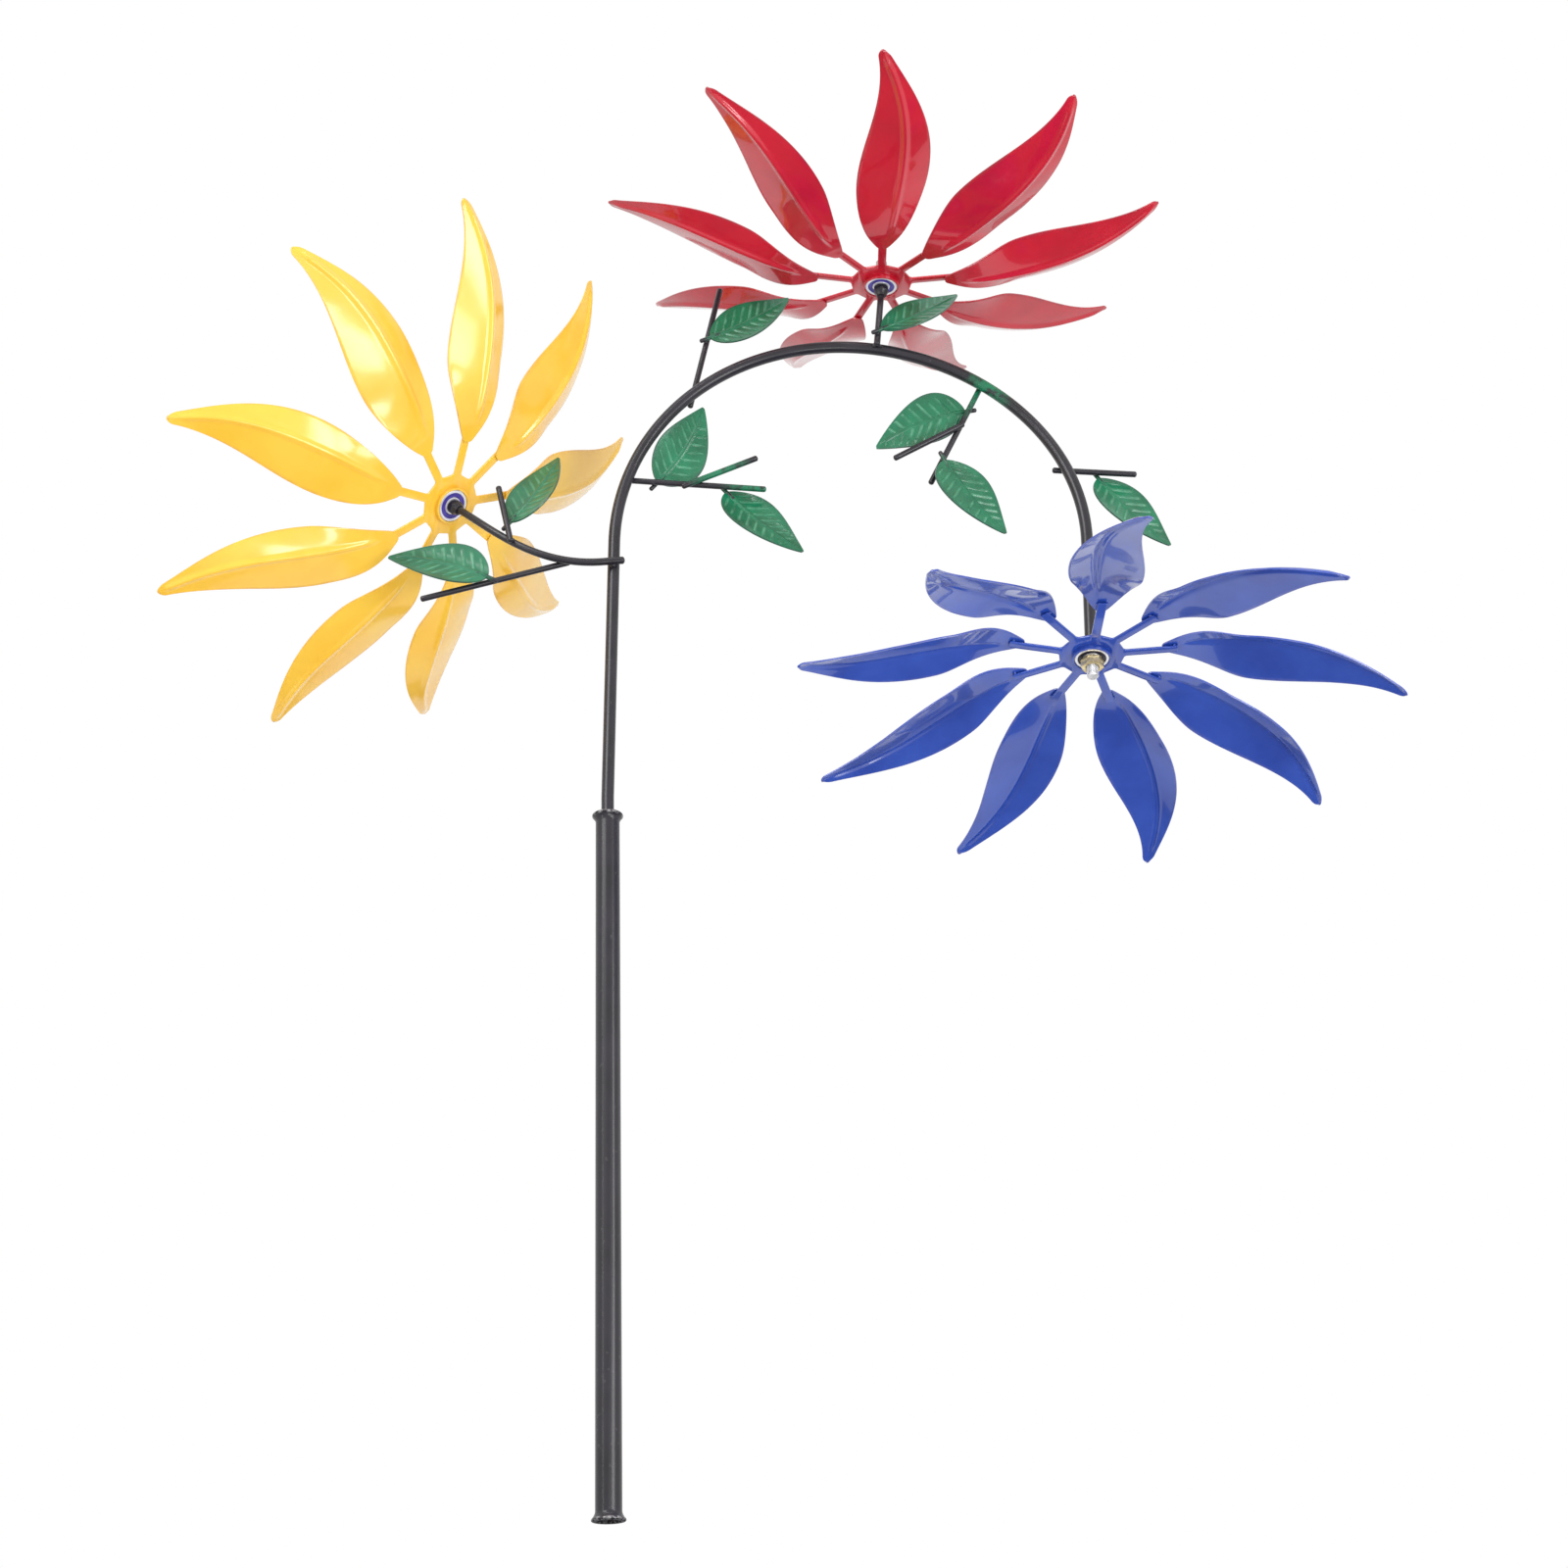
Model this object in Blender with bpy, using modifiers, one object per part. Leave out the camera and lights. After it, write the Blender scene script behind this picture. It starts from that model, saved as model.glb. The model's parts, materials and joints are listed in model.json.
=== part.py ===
"""Garden wind sculpture with three flower rotors on a bent steel arch.

Metres, +Z up. The origin is the middle of the pole's open lower end, where a ground stake goes in.
The arch turns in the pole, and each flower turns on a ball bearing held by a welded axle.
"""

from math import asin, atan2, cos, pi, radians, sin, tan
from typing import NamedTuple

import bmesh
import bpy
from mathutils import Matrix, Vector
from mathutils.geometry import interpolate_bezier

# Clearance between pieces that touch
FIT_GAP = 0.0003

# Pole
POLE_LENGTH = 0.4274
POLE_DIAMETER = 0.015
POLE_WALL = 0.0015
LIP_DIAMETER = 0.0195
LIP_HEIGHT = 0.002
LIP_EDGE = 0.0008
LIP_FADE = 0.004
MOUTH_FLARE = 0.0009
MOUTH_DEPTH = 0.003

# Bush that guides the stem in the pole
BUSH_LENGTH = 0.045
BUSH_FLOOR = 0.003
BUSH_CROWN = 0.0008
BUSH_RIM = 0.0006

# Arch: one rod, straight up with a slight lean, over in an arc, and down to the blue flower.
# The skew makes the arc fuller on the stem's side, as the bent rod is.
STEM_DIAMETER = 0.008
STEM_CLEAR_HEIGHT = 0.012
STEM_RISE = 0.1988
STEM_LEAN = radians(1.4)
ARCH_RADIUS = 0.1568
ARCH_SKEW = 0.0035
ARCH_END_HEADING = radians(183.1)
ARCH_LEG = 0.0752
ARCH_STEPS = 26

# Yellow branch and red stalk
BRANCH_DIAMETER = 0.005
BRANCH_HEIGHT = 0.1818
BRANCH_TAIL = 0.008
BRANCH_REACH = Vector((-0.1035, 0.0097, 0.0503))
BRANCH_ROOT_HANDLE = Vector((-0.047, -0.003, -0.007))
BRANCH_HUB_HANDLE = 0.045
BRANCH_STEPS = 14
STALK_DIAMETER = 0.0045
STALK_STATION = radians(99.5)
STALK_TAIL = 0.0015
STALK_REACH = Vector((0.0051, 0.0035, 0.0429))

# Bearing: a common 8 x 22 x 7 mm ball bearing with a shield on each side
BEARING_BORE = 0.008
BEARING_DIAMETER = 0.022
BEARING_WIDTH = 0.007
INNER_RING_WALL = 0.002
OUTER_RING_WALL = 0.0018
SHIELD_THICKNESS = 0.0006
SHIELD_RECESS = 0.0003

# Axle, nut and knob
AXLE_PROUD = 0.007
AXLE_SINK = 0.004
NUT_ACROSS_FLATS = 0.013
NUT_HEIGHT = 0.0065
KNOB_DIAMETER = 0.0094
KNOB_REAR_DIAMETER = 0.0064
KNOB_LENGTH = 0.0075
KNOB_ROD_SINK = 0.0025

# Spider: a disc with spokes and the bearing housing
PETAL_COUNT = 9
PLATE_THICKNESS = 0.0015
DISC_DIAMETER = 0.042
DISC_ARC_STEPS = 3
SPOKE_WIDTH = 0.0058
SPOKE_END_RADIUS = 0.055
HOUSING_WALL = 0.0015
HOUSING_LENGTH = 0.008

# Petal: a pressed sheet with a sickle outline, dished towards the front
PETAL_START_RADIUS = 0.045
PETAL_LENGTH = 0.148
PETAL_SHEET = 0.001
PETAL_HALF_WIDTH = 0.0195
PETAL_BASE_HALF_WIDTH = 0.003
PETAL_TIP_HALF_WIDTH = 0.0029
PETAL_SWELL_POWERS = (1.0, 1.35)
PETAL_SWEEP = 0.008
PETAL_SWEEP_SKEW = 1.85
PETAL_HOOK = 0.0067
PETAL_HOOK_POWER = 4.5
PETAL_BEND_POWER = 2
PETAL_DISH = 0.0066
PETAL_DISH_POWER = 1.5
PETAL_DISH_RUN = 0.25
PETAL_RISE_POWER = 1.6
PETAL_SEAT = 0.0004
PETAL_ROWS = 10
PETAL_COLUMNS = 4

# Twigs and leaves
TWIG_DIAMETER = 0.004
FORK_SINK = 0.0008
LEAF_LENGTH = 0.065
LEAF_HALF_WIDTH = 0.0185
LEAF_TIP_HALF_WIDTH = 0.0009
LEAF_SWELL_POWERS = (0.72, 0.9)
LEAF_SHEET = 0.001
LEAF_TIP_DRIFT = 0.015
LEAF_DRIFT_POWER = 2.2
LEAF_CUP = 0.003
LEAF_STALK_DIAMETER = 0.003
LEAF_STALK_STUB = 0.005
LEAF_STALK_REACH = 0.011
LEAF_OFFSET = 0.003
LEAF_ROWS = 8
LEAF_COLUMNS = 4

# Facets round a turned piece, bevel resolution of a rod, merge distance and smooth shading limit
TURNED_STEPS = 24
ROD_RESOLUTION = 2
MERGE_DISTANCE = 0.00001
SHARP_ANGLE = radians(40)

FRONT = Vector((0, -1, 0))
BACK = -FRONT


class Flower(NamedTuple):
    """A rotor: the way its axle points, how far its petal tips rise and swing, their pitch, its turn at rest.

    One petal is bent more than the others: its number, and how much further its tip swings and rises.
    """
    axle: tuple
    rise: float
    swing: float
    pitch: float
    turn: float
    bent: tuple


class Twig(NamedTuple):
    """A wire laid across the arch (station is the arch's heading there) or across the branch (0 to 1)."""
    carrier: str
    station: float
    heading: float
    tail: float
    reach: float
    side: int
    fork: tuple = ()


class Leaf(NamedTuple):
    """A leaf laid across a twig at a distance from the twig's own crossing."""
    twig: str
    distance: float
    heading: float
    roll: float
    side: int


FLOWERS = {
    "yellow": Flower((-0.650, 0.352, 0.673), 0.056, 0.005, radians(1), radians(132.5), (4, 0.015, 0.0)),
    "red": Flower((0.062, -0.078, 0.995), 0.045, 0.004, radians(-6), radians(90), (2, 0.012, 0.0)),
    "blue": Flower((-0.056, -0.118, -0.992), 0.045, 0.0, radians(-2), radians(88.5), (9, -0.006, 0.014)),
}

# A twig's fork is a second wire welded to it: distance, heading, tail and reach.
# Side 1 is behind the carrier and -1 is in front of it.
TWIGS = {
    "branch_low_twig": Twig("branch", 0.25, radians(195), 0.004, 0.097, 1),
    "branch_high_twig": Twig("branch", 0.58, radians(102), 0.004, 0.043, -1),
    "crown_left_twig": Twig("arch", radians(49.5), radians(77), 0.006, 0.097, 1),
    "side_left_twig": Twig("arch", radians(21.5), radians(-7), 0.005, 0.093, 1,
                           (0.044, radians(22), 0.009, 0.047)),
    "crown_right_twig": Twig("arch", radians(128), radians(-117), 0.004, 0.085, 1,
                             (0.036, radians(-152), 0.004, 0.052)),
    "side_right_twig": Twig("arch", radians(160.5), radians(-6), 0.008, 0.049, 1),
}

LEAVES = {
    "leaf_branch_low": Leaf("branch_low_twig", 0.049, radians(153), radians(16), -1),
    "leaf_branch_high": Leaf("branch_high_twig", 0.013, radians(52), radians(-26), 1),
    "leaf_crown_left": Leaf("crown_left_twig", 0.05, radians(21), radians(-15), -1),
    "leaf_side_left_upper": Leaf("side_left_twig", 0.017, radians(48), radians(15), 1),
    "leaf_side_left_lower": Leaf("side_left_twig", 0.064, radians(-52), radians(-25), 1),
    "leaf_red_stalk": Leaf("red_stalk", 0.0085, radians(23), radians(-25), -1),
    "leaf_crown_right_upper": Leaf("crown_right_twig", 0.017, radians(-172), radians(-6), 1),
    "leaf_crown_right_lower": Leaf("crown_right_twig", 0.064, radians(-67), radians(-20), -1),
    "leaf_side_right": Leaf("side_right_twig", 0.022, radians(-59), radians(-24), 1),
}

# Sizes that follow from the ones above
STEM_RADIUS = STEM_DIAMETER / 2
AXLE_RADIUS = BEARING_BORE / 2 - FIT_GAP
POLE_BORE_RADIUS = POLE_DIAMETER / 2 - POLE_WALL
SHOULDER = BEARING_WIDTH / 2 + FIT_GAP
AXLE_TIP = SHOULDER + NUT_HEIGHT + AXLE_PROUD
KNOB_END = SHOULDER + KNOB_LENGTH
HOUSING_BORE_RADIUS = BEARING_DIAMETER / 2 + FIT_GAP
STEM_FOOT = POLE_LENGTH - BUSH_LENGTH + BUSH_FLOOR + FIT_GAP


def clear_scene():
    for item in list(bpy.data.objects):
        bpy.data.objects.remove(item)


def new_collection(name):
    group = bpy.data.collections.new(name)
    bpy.context.scene.collection.children.link(group)
    return group


def paint(name, colour, roughness, metallic=0.0):
    surface = bpy.data.materials.new(name)
    surface.use_nodes = True
    shader = surface.node_tree.nodes["Principled BSDF"]
    shader.inputs["Base Color"].default_value = (*colour, 1)
    shader.inputs["Roughness"].default_value = roughness
    shader.inputs["Metallic"].default_value = metallic
    return surface


def place(name, data, parent, local=None, group=None):
    """One object in the part's collection, or in the cutters', at its place under its parent."""
    item = bpy.data.objects.new(name, data)
    (group or PARTS).objects.link(item)
    item.parent = parent
    item.matrix_local = local or Matrix()
    return item


def finish(item, surface):
    item.data.materials.append(surface)
    item.data.shade_smooth()
    item.data.set_sharp_from_angle(angle=SHARP_ANGLE)
    return item


def cutter(name, data, parent, local=None):
    item = place(name, data, parent, local, CUTTERS)
    item.hide_render = True
    item.display_type = "WIRE"
    return item


def joined(item, other, operation="UNION"):
    step = item.modifiers.new(other.name, "BOOLEAN")
    step.object = other
    step.operation = operation
    step.solver = "EXACT"


def mesh_from(name, build):
    body = bmesh.new()
    build(body)
    mesh = bpy.data.meshes.new(name)
    body.to_mesh(mesh)
    body.free()
    return mesh


def cylinder(name, radius, low, high, top_radius=None, sides=TURNED_STEPS):
    """A round bar or cone along Z from low to high."""
    def build(body):
        bmesh.ops.create_cone(
            body, cap_ends=True, segments=sides, radius1=radius,
            radius2=radius if top_radius is None else top_radius, depth=high - low,
            matrix=Matrix.Translation((0, 0, (low + high) / 2)))
    return mesh_from(name, build)


def turned(name, profile, parent, surface, local=None):
    """A profile of radius and height about Z, outer side from top to bottom, closed unless it starts on Z."""
    mesh = bpy.data.meshes.new(name)
    count = len(profile)
    on_axis = profile[0][0] == 0
    edges = [(i, (i + 1) % count) for i in range(count - 1 if on_axis else count)]
    mesh.from_pydata([(radius, 0, height) for radius, height in profile], edges, [])
    item = place(name, mesh, parent, local)
    turn = item.modifiers.new("turned", "SCREW")
    turn.steps = TURNED_STEPS
    turn.render_steps = TURNED_STEPS
    turn.use_merge_vertices = True
    turn.merge_threshold = MERGE_DISTANCE
    turn.use_smooth_shade = True
    item.data.materials.append(surface)
    return item


def line_curve(name, points, dimensions):
    """A curve of straight runs through points."""
    curve = bpy.data.curves.new(name, "CURVE")
    curve.dimensions = dimensions
    run = curve.splines.new("POLY")
    run.points.add(len(points) - 1)
    for knot, point in zip(run.points, points):
        knot.co = (*point, 1)
    return curve


def closed_mesh(curve):
    """A curve as a closed mesh, for pieces that are joined or cut."""
    item = bpy.data.objects.new(curve.name, curve)
    PARTS.objects.link(item)
    shape = item.evaluated_get(bpy.context.evaluated_depsgraph_get())
    mesh = bpy.data.meshes.new_from_object(shape)
    bpy.data.objects.remove(item)
    body = bmesh.new()
    body.from_mesh(mesh)
    bmesh.ops.remove_doubles(body, verts=body.verts, dist=MERGE_DISTANCE)
    body.to_mesh(mesh)
    body.free()
    return mesh


def wire_mesh(name, points, diameter):
    curve = line_curve(name, points, "3D")
    curve.bevel_depth = diameter / 2
    curve.bevel_resolution = ROD_RESOLUTION
    curve.use_fill_caps = True
    return closed_mesh(curve)


def heading_vector(angle):
    """A direction in the arch's plane, measured from +X towards +Z."""
    return Vector((cos(angle), 0, sin(angle)))


def across(vector, normal):
    return (vector - normal * vector.dot(normal)).normalized()


def frame(origin, along, normal):
    """A placement with X along a direction and Z along a normal square to it."""
    turn = Matrix((along, normal.cross(along), normal)).transposed()
    return Matrix.Translation(origin) @ turn.to_4x4()


def stem_top():
    rise = STEM_RISE - STEM_CLEAR_HEIGHT
    return Vector((rise * tan(STEM_LEAN), 0, POLE_LENGTH + STEM_RISE))


def arch_radius(heading):
    return ARCH_RADIUS + ARCH_SKEW * sin(2 * heading) * sin(heading)


def arch_centre():
    return stem_top() + arch_radius(STEM_LEAN) * Vector((cos(STEM_LEAN), 0, -sin(STEM_LEAN)))


def arch_point(heading):
    """The rod's centre, seen from the arch's centre at this angle up from the stem's side."""
    return arch_centre() + arch_radius(heading) * Vector((-cos(heading), 0, sin(heading)))


def arch_tangent(heading):
    growth = ARCH_SKEW * (2 * cos(2 * heading) * sin(heading) + sin(2 * heading) * cos(heading))
    outward = Vector((-cos(heading), 0, sin(heading)))
    along = Vector((sin(heading), 0, cos(heading)))
    return (arch_radius(heading) * along + growth * outward).normalized()


def arch_end():
    return arch_point(ARCH_END_HEADING) + ARCH_LEG * arch_tangent(ARCH_END_HEADING)


def arch_route():
    route = [Vector((0, 0, STEM_FOOT)), Vector((0, 0, POLE_LENGTH + STEM_CLEAR_HEIGHT))]
    for step in range(ARCH_STEPS + 1):
        share = step / ARCH_STEPS
        route.append(arch_point(STEM_LEAN + share * (ARCH_END_HEADING - STEM_LEAN)))
    route.append(arch_end())
    return route


def branch_root():
    lean = (BRANCH_HEIGHT - STEM_CLEAR_HEIGHT) * tan(STEM_LEAN)
    offset = STEM_RADIUS + BRANCH_DIAMETER / 2 + FIT_GAP
    return Vector((lean, 0, POLE_LENGTH + BRANCH_HEIGHT)) + offset * FRONT


def stalk_root():
    return arch_point(STALK_STATION) + (STEM_RADIUS + STALK_DIAMETER / 2 + FIT_GAP) * FRONT


def axle_direction(name):
    return Vector(FLOWERS[name].axle).normalized()


def hub_place(name):
    """The middle of a flower's disc, one knob past the end of the rod that carries it."""
    if name == "yellow":
        rod_end = branch_root() + BRANCH_REACH
    elif name == "red":
        rod_end = stalk_root() + STALK_REACH
    else:
        rod_end = arch_end()
    return rod_end + KNOB_END * axle_direction(name)


def rod_end(name):
    """The rod's end, a little inside the knob that it is welded to."""
    return hub_place(name) - (KNOB_END - KNOB_ROD_SINK) * axle_direction(name)


def branch_route():
    root = branch_root()
    end = rod_end("yellow")
    lead = end - BRANCH_HUB_HANDLE * axle_direction("yellow")
    curve = interpolate_bezier(root, root + BRANCH_ROOT_HANDLE, lead, end, BRANCH_STEPS)
    return [root + Vector((BRANCH_TAIL, 0, 0))] + [Vector(point) for point in curve]


def stalk_route():
    root = stalk_root()
    end = rod_end("red")
    return [root - STALK_TAIL * (end - root).normalized(), end]


def rotor_frame(name):
    """Z along the axle towards the nut, turned to the flower's position at rest."""
    axle = axle_direction(name)
    side = axle.cross(BACK).normalized()
    return frame(hub_place(name), side, axle) @ Matrix.Rotation(FLOWERS[name].turn, 4, "Z")


def station_on(carrier, station):
    """A point on the arch or branch, with its direction and thickness."""
    if carrier == "arch":
        return arch_point(station), arch_tangent(station), STEM_DIAMETER
    route = branch_route()[1:]
    share = station * (len(route) - 1)
    index = int(share)
    run = route[index + 1] - route[index]
    return route[index] + (share - index) * run, run.normalized(), BRANCH_DIAMETER


def laid_across(point, tangent, thickness, heading, own_thickness, side):
    """Where a wire crosses its carrier, which way it runs, and the normal between the two."""
    normal = across(side * BACK, tangent)
    crossing = point + (thickness / 2 + own_thickness / 2 + FIT_GAP) * normal
    return crossing, across(heading_vector(heading), normal), normal


def twig_line(name):
    """A twig's crossing point, direction and thickness. The red stalk carries a leaf in the same way."""
    if name == "red_stalk":
        route = stalk_route()
        return stalk_root(), (route[1] - route[0]).normalized(), STALK_DIAMETER
    twig = TWIGS[name]
    point, tangent, thickness = station_on(twig.carrier, twig.station)
    crossing, along, _ = laid_across(point, tangent, thickness, twig.heading, TWIG_DIAMETER, twig.side)
    return crossing, along, TWIG_DIAMETER


def make_pole():
    outer = POLE_DIAMETER / 2
    lip = LIP_DIAMETER / 2
    mouth = POLE_BORE_RADIUS + MOUTH_FLARE
    upper = [
        (mouth, 0.0), (lip - LIP_EDGE, 0.0), (lip, -LIP_EDGE), (lip, -LIP_HEIGHT),
        (outer, -LIP_HEIGHT - LIP_FADE),
    ]
    profile = [(radius, POLE_LENGTH + drop) for radius, drop in upper]
    profile += [(radius, -drop) for radius, drop in reversed(upper)]
    profile += [(POLE_BORE_RADIUS, MOUTH_DEPTH), (POLE_BORE_RADIUS, POLE_LENGTH - MOUTH_DEPTH)]
    turned("lower_pole", profile, None, CHARCOAL)


def make_stem_bush():
    outer = POLE_BORE_RADIUS - FIT_GAP
    bore = STEM_RADIUS + FIT_GAP
    top = POLE_LENGTH + BUSH_CROWN
    foot = POLE_LENGTH - BUSH_LENGTH
    turned("stem_bush",
           [(0, foot + BUSH_FLOOR), (bore, foot + BUSH_FLOOR), (bore, top), (bore + BUSH_RIM, top),
            (outer + MOUTH_FLARE, POLE_LENGTH), (outer, POLE_LENGTH - MOUTH_DEPTH), (outer, foot), (0, foot)],
           None, NYLON)


def weld_axle(rod, name, parent):
    """The knob and axle that end a rod."""
    local = parent.matrix_world.inverted() @ rotor_frame(name)
    knob = cylinder(f"{name}_knob", KNOB_REAR_DIAMETER / 2, -KNOB_END, -SHOULDER, KNOB_DIAMETER / 2)
    joined(rod, cutter(f"{name}_knob", knob, parent, local))
    axle = cylinder(f"{name}_axle", AXLE_RADIUS, -SHOULDER - AXLE_SINK, AXLE_TIP)
    joined(rod, cutter(f"{name}_axle", axle, parent, local))


def make_rods(swivel):
    arch_mesh = wire_mesh("arch_stem", arch_route()[:-1] + [rod_end("blue")], STEM_DIAMETER)
    arch = finish(place("arch_stem", arch_mesh, swivel), CHARCOAL)
    weld_axle(arch, "blue", swivel)
    branch_mesh = wire_mesh("yellow_branch", branch_route(), BRANCH_DIAMETER)
    branch = finish(place("yellow_branch", branch_mesh, swivel), CHARCOAL)
    weld_axle(branch, "yellow", swivel)
    stalk_mesh = wire_mesh("red_stalk", stalk_route(), STALK_DIAMETER)
    stalk = finish(place("red_stalk", stalk_mesh, swivel), CHARCOAL)
    weld_axle(stalk, "red", swivel)


def make_twigs(swivel):
    for name, twig in TWIGS.items():
        crossing, along, _ = twig_line(name)
        ends = [crossing - twig.tail * along, crossing + twig.reach * along]
        item = finish(place(name, wire_mesh(name, ends, TWIG_DIAMETER), swivel), CHARCOAL)
        if twig.fork:
            distance, heading, tail, reach = twig.fork
            root = crossing + distance * along + (TWIG_DIAMETER - FORK_SINK) * FRONT
            fork_along = heading_vector(heading)
            fork_ends = [root - tail * fork_along, root + reach * fork_along]
            fork = wire_mesh(f"{name}_fork", fork_ends, TWIG_DIAMETER)
            joined(item, cutter(f"{name}_fork", fork, swivel))


def leaf_half_width(share):
    """Round near the stalk, drawn out to a point."""
    shoulder, fullness = LEAF_SWELL_POWERS
    swell = max(0, sin(pi * share ** shoulder)) ** fullness
    return LEAF_TIP_HALF_WIDTH + (LEAF_HALF_WIDTH - LEAF_TIP_HALF_WIDTH) * swell


def leaf_blade(name):
    """A leaf that looks the same from the front on either side of its twig."""
    hand = -LEAVES[name].side

    def build(body):
        bmesh.ops.create_grid(body, x_segments=LEAF_ROWS, y_segments=LEAF_COLUMNS, size=1)
        for point in body.verts:
            share = (point.co.x + 1) / 2
            side = point.co.y
            width = leaf_half_width(share)
            point.co.x = LEAF_OFFSET + LEAF_LENGTH * share
            point.co.y = side * width + hand * LEAF_TIP_DRIFT * share ** LEAF_DRIFT_POWER
            point.co.z = hand * LEAF_CUP * ((side * width / LEAF_HALF_WIDTH) ** 2 - share ** 2)
    return mesh_from(name, build)


def make_leaves(swivel):
    for name, leaf in LEAVES.items():
        root, along, thickness = twig_line(leaf.twig)
        point = root + leaf.distance * along
        crossing, heading, normal = laid_across(
            point, along, thickness, leaf.heading, LEAF_STALK_DIAMETER, leaf.side)
        local = frame(crossing, heading, normal) @ Matrix.Rotation(leaf.roll, 4, "X")
        item = finish(place(name, leaf_blade(name), swivel, local), LEAF_GREEN)
        sheet = item.modifiers.new("sheet", "SOLIDIFY")
        sheet.thickness = LEAF_SHEET
        sheet.offset = 0
        stalk_ends = [(-LEAF_STALK_STUB, 0, 0), (LEAF_STALK_REACH, 0, 0)]
        stalk = wire_mesh(f"{name}_stalk", stalk_ends, LEAF_STALK_DIAMETER)
        joined(item, cutter(f"{name}_stalk", stalk, item))


def make_bearing(name, swivel, rotor):
    half = BEARING_WIDTH / 2
    bore = BEARING_BORE / 2
    inner_ring = bore + INNER_RING_WALL
    local = swivel.matrix_world.inverted() @ rotor_frame(name)
    turned(f"{name}_bearing_inner_ring",
           [(inner_ring, half), (inner_ring, -half), (bore, -half), (bore, half)], swivel, STEEL, local)
    outside = BEARING_DIAMETER / 2
    race = outside - OUTER_RING_WALL
    shield = inner_ring + FIT_GAP
    face = half - SHIELD_RECESS
    back = face - SHIELD_THICKNESS
    turned(f"{name}_bearing_outer_ring",
           [(outside, half), (outside, -half), (race, -half), (race, -face), (shield, -face), (shield, -back),
            (race, -back), (race, back), (shield, back), (shield, face), (race, face), (race, half)],
           rotor, STEEL)


def make_nut(name, swivel):
    local = swivel.matrix_world.inverted() @ rotor_frame(name)
    corner = NUT_ACROSS_FLATS / 2 / cos(pi / 6)
    mesh = cylinder(f"{name}_axle_nut", corner, SHOULDER, SHOULDER + NUT_HEIGHT, sides=6)
    nut = finish(place(f"{name}_axle_nut", mesh, swivel, local), ZINC)
    bore = cylinder(f"{name}_nut_bore", AXLE_RADIUS + FIT_GAP, 0, AXLE_TIP)
    joined(nut, cutter(f"{name}_nut_bore", bore, swivel, local), "DIFFERENCE")


def spider_outline():
    """The disc's edge, with a spoke at each petal."""
    disc = DISC_DIAMETER / 2
    half = SPOKE_WIDTH / 2
    root = asin(half / disc)
    pitch = 2 * pi / PETAL_COUNT
    gap = pitch - 2 * root
    outline = []
    for spoke in range(PETAL_COUNT):
        turn = Matrix.Rotation(spoke * pitch, 3, "Z")
        outline += [turn @ Vector((SPOKE_END_RADIUS, -half, 0)), turn @ Vector((SPOKE_END_RADIUS, half, 0))]
        for step in range(DISC_ARC_STEPS + 1):
            angle = root + gap * step / DISC_ARC_STEPS
            outline.append(turn @ Vector((disc * cos(angle), disc * sin(angle), 0)))
    return outline


def make_spider(name, rotor, surface):
    curve = line_curve(f"{name}_spider", spider_outline(), "2D")
    curve.splines[0].use_cyclic_u = True
    curve.fill_mode = "BOTH"
    curve.extrude = PLATE_THICKNESS / 2
    spider = finish(place(f"{name}_spider", closed_mesh(curve), rotor), surface)
    half = HOUSING_LENGTH / 2
    housing = cylinder(f"{name}_housing", HOUSING_BORE_RADIUS + HOUSING_WALL, -half, half)
    joined(spider, cutter(f"{name}_housing", housing, rotor))
    bore = cylinder(f"{name}_housing_bore", HOUSING_BORE_RADIUS, -HOUSING_LENGTH, HOUSING_LENGTH)
    joined(spider, cutter(f"{name}_housing_bore", bore, rotor), "DIFFERENCE")


def petal_half_width(share):
    """Narrow at the spoke, widest before the middle, drawn out to the tip."""
    before, after = PETAL_SWELL_POWERS
    widest = before / (before + after)
    swell = (share / widest) ** before * ((1 - share) / (1 - widest)) ** after
    return PETAL_BASE_HALF_WIDTH * (1 - share) + PETAL_TIP_HALF_WIDTH * share + PETAL_HALF_WIDTH * swell


def petal_sweep(share):
    """How far the middle line bows to one side before the tip hooks back."""
    return PETAL_SWEEP * sin(pi * share ** PETAL_SWEEP_SKEW) - PETAL_HOOK * share ** PETAL_HOOK_POWER


def petal_sheet(name, rise, swing, pitch):
    """A sheet behind the end of its spoke, dished and rising towards the front, pitched to the wind."""
    behind = PLATE_THICKNESS / 2 + FIT_GAP + PETAL_SEAT
    under_spoke = (SPOKE_END_RADIUS - PETAL_START_RADIUS) / PETAL_LENGTH

    def build(body):
        bmesh.ops.create_grid(body, x_segments=PETAL_ROWS, y_segments=PETAL_COLUMNS, size=1)
        for point in body.verts:
            share = (point.co.x + 1) / 2
            offset = point.co.y * petal_half_width(share)
            depth = PETAL_DISH * min(1, max(0, share - under_spoke) / PETAL_DISH_RUN)
            dish = depth * (abs(offset) / PETAL_HALF_WIDTH) ** PETAL_DISH_POWER
            past_spoke = max(0, share - under_spoke) / (1 - under_spoke)
            climb = PETAL_RISE_POWER * rise * past_spoke ** (PETAL_RISE_POWER - 1)
            slope = atan2(climb, PETAL_LENGTH * (1 - under_spoke))
            middle = Vector((PETAL_START_RADIUS + PETAL_LENGTH * share,
                             petal_sweep(share) + swing * past_spoke ** PETAL_BEND_POWER,
                             rise * past_spoke ** PETAL_RISE_POWER - behind))
            tilt = Matrix.Rotation(-slope, 3, "Y") @ Matrix.Rotation(pitch * past_spoke, 3, "X")
            point.co = middle + tilt @ Vector((0, offset, dish))
    return mesh_from(name, build)


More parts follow.
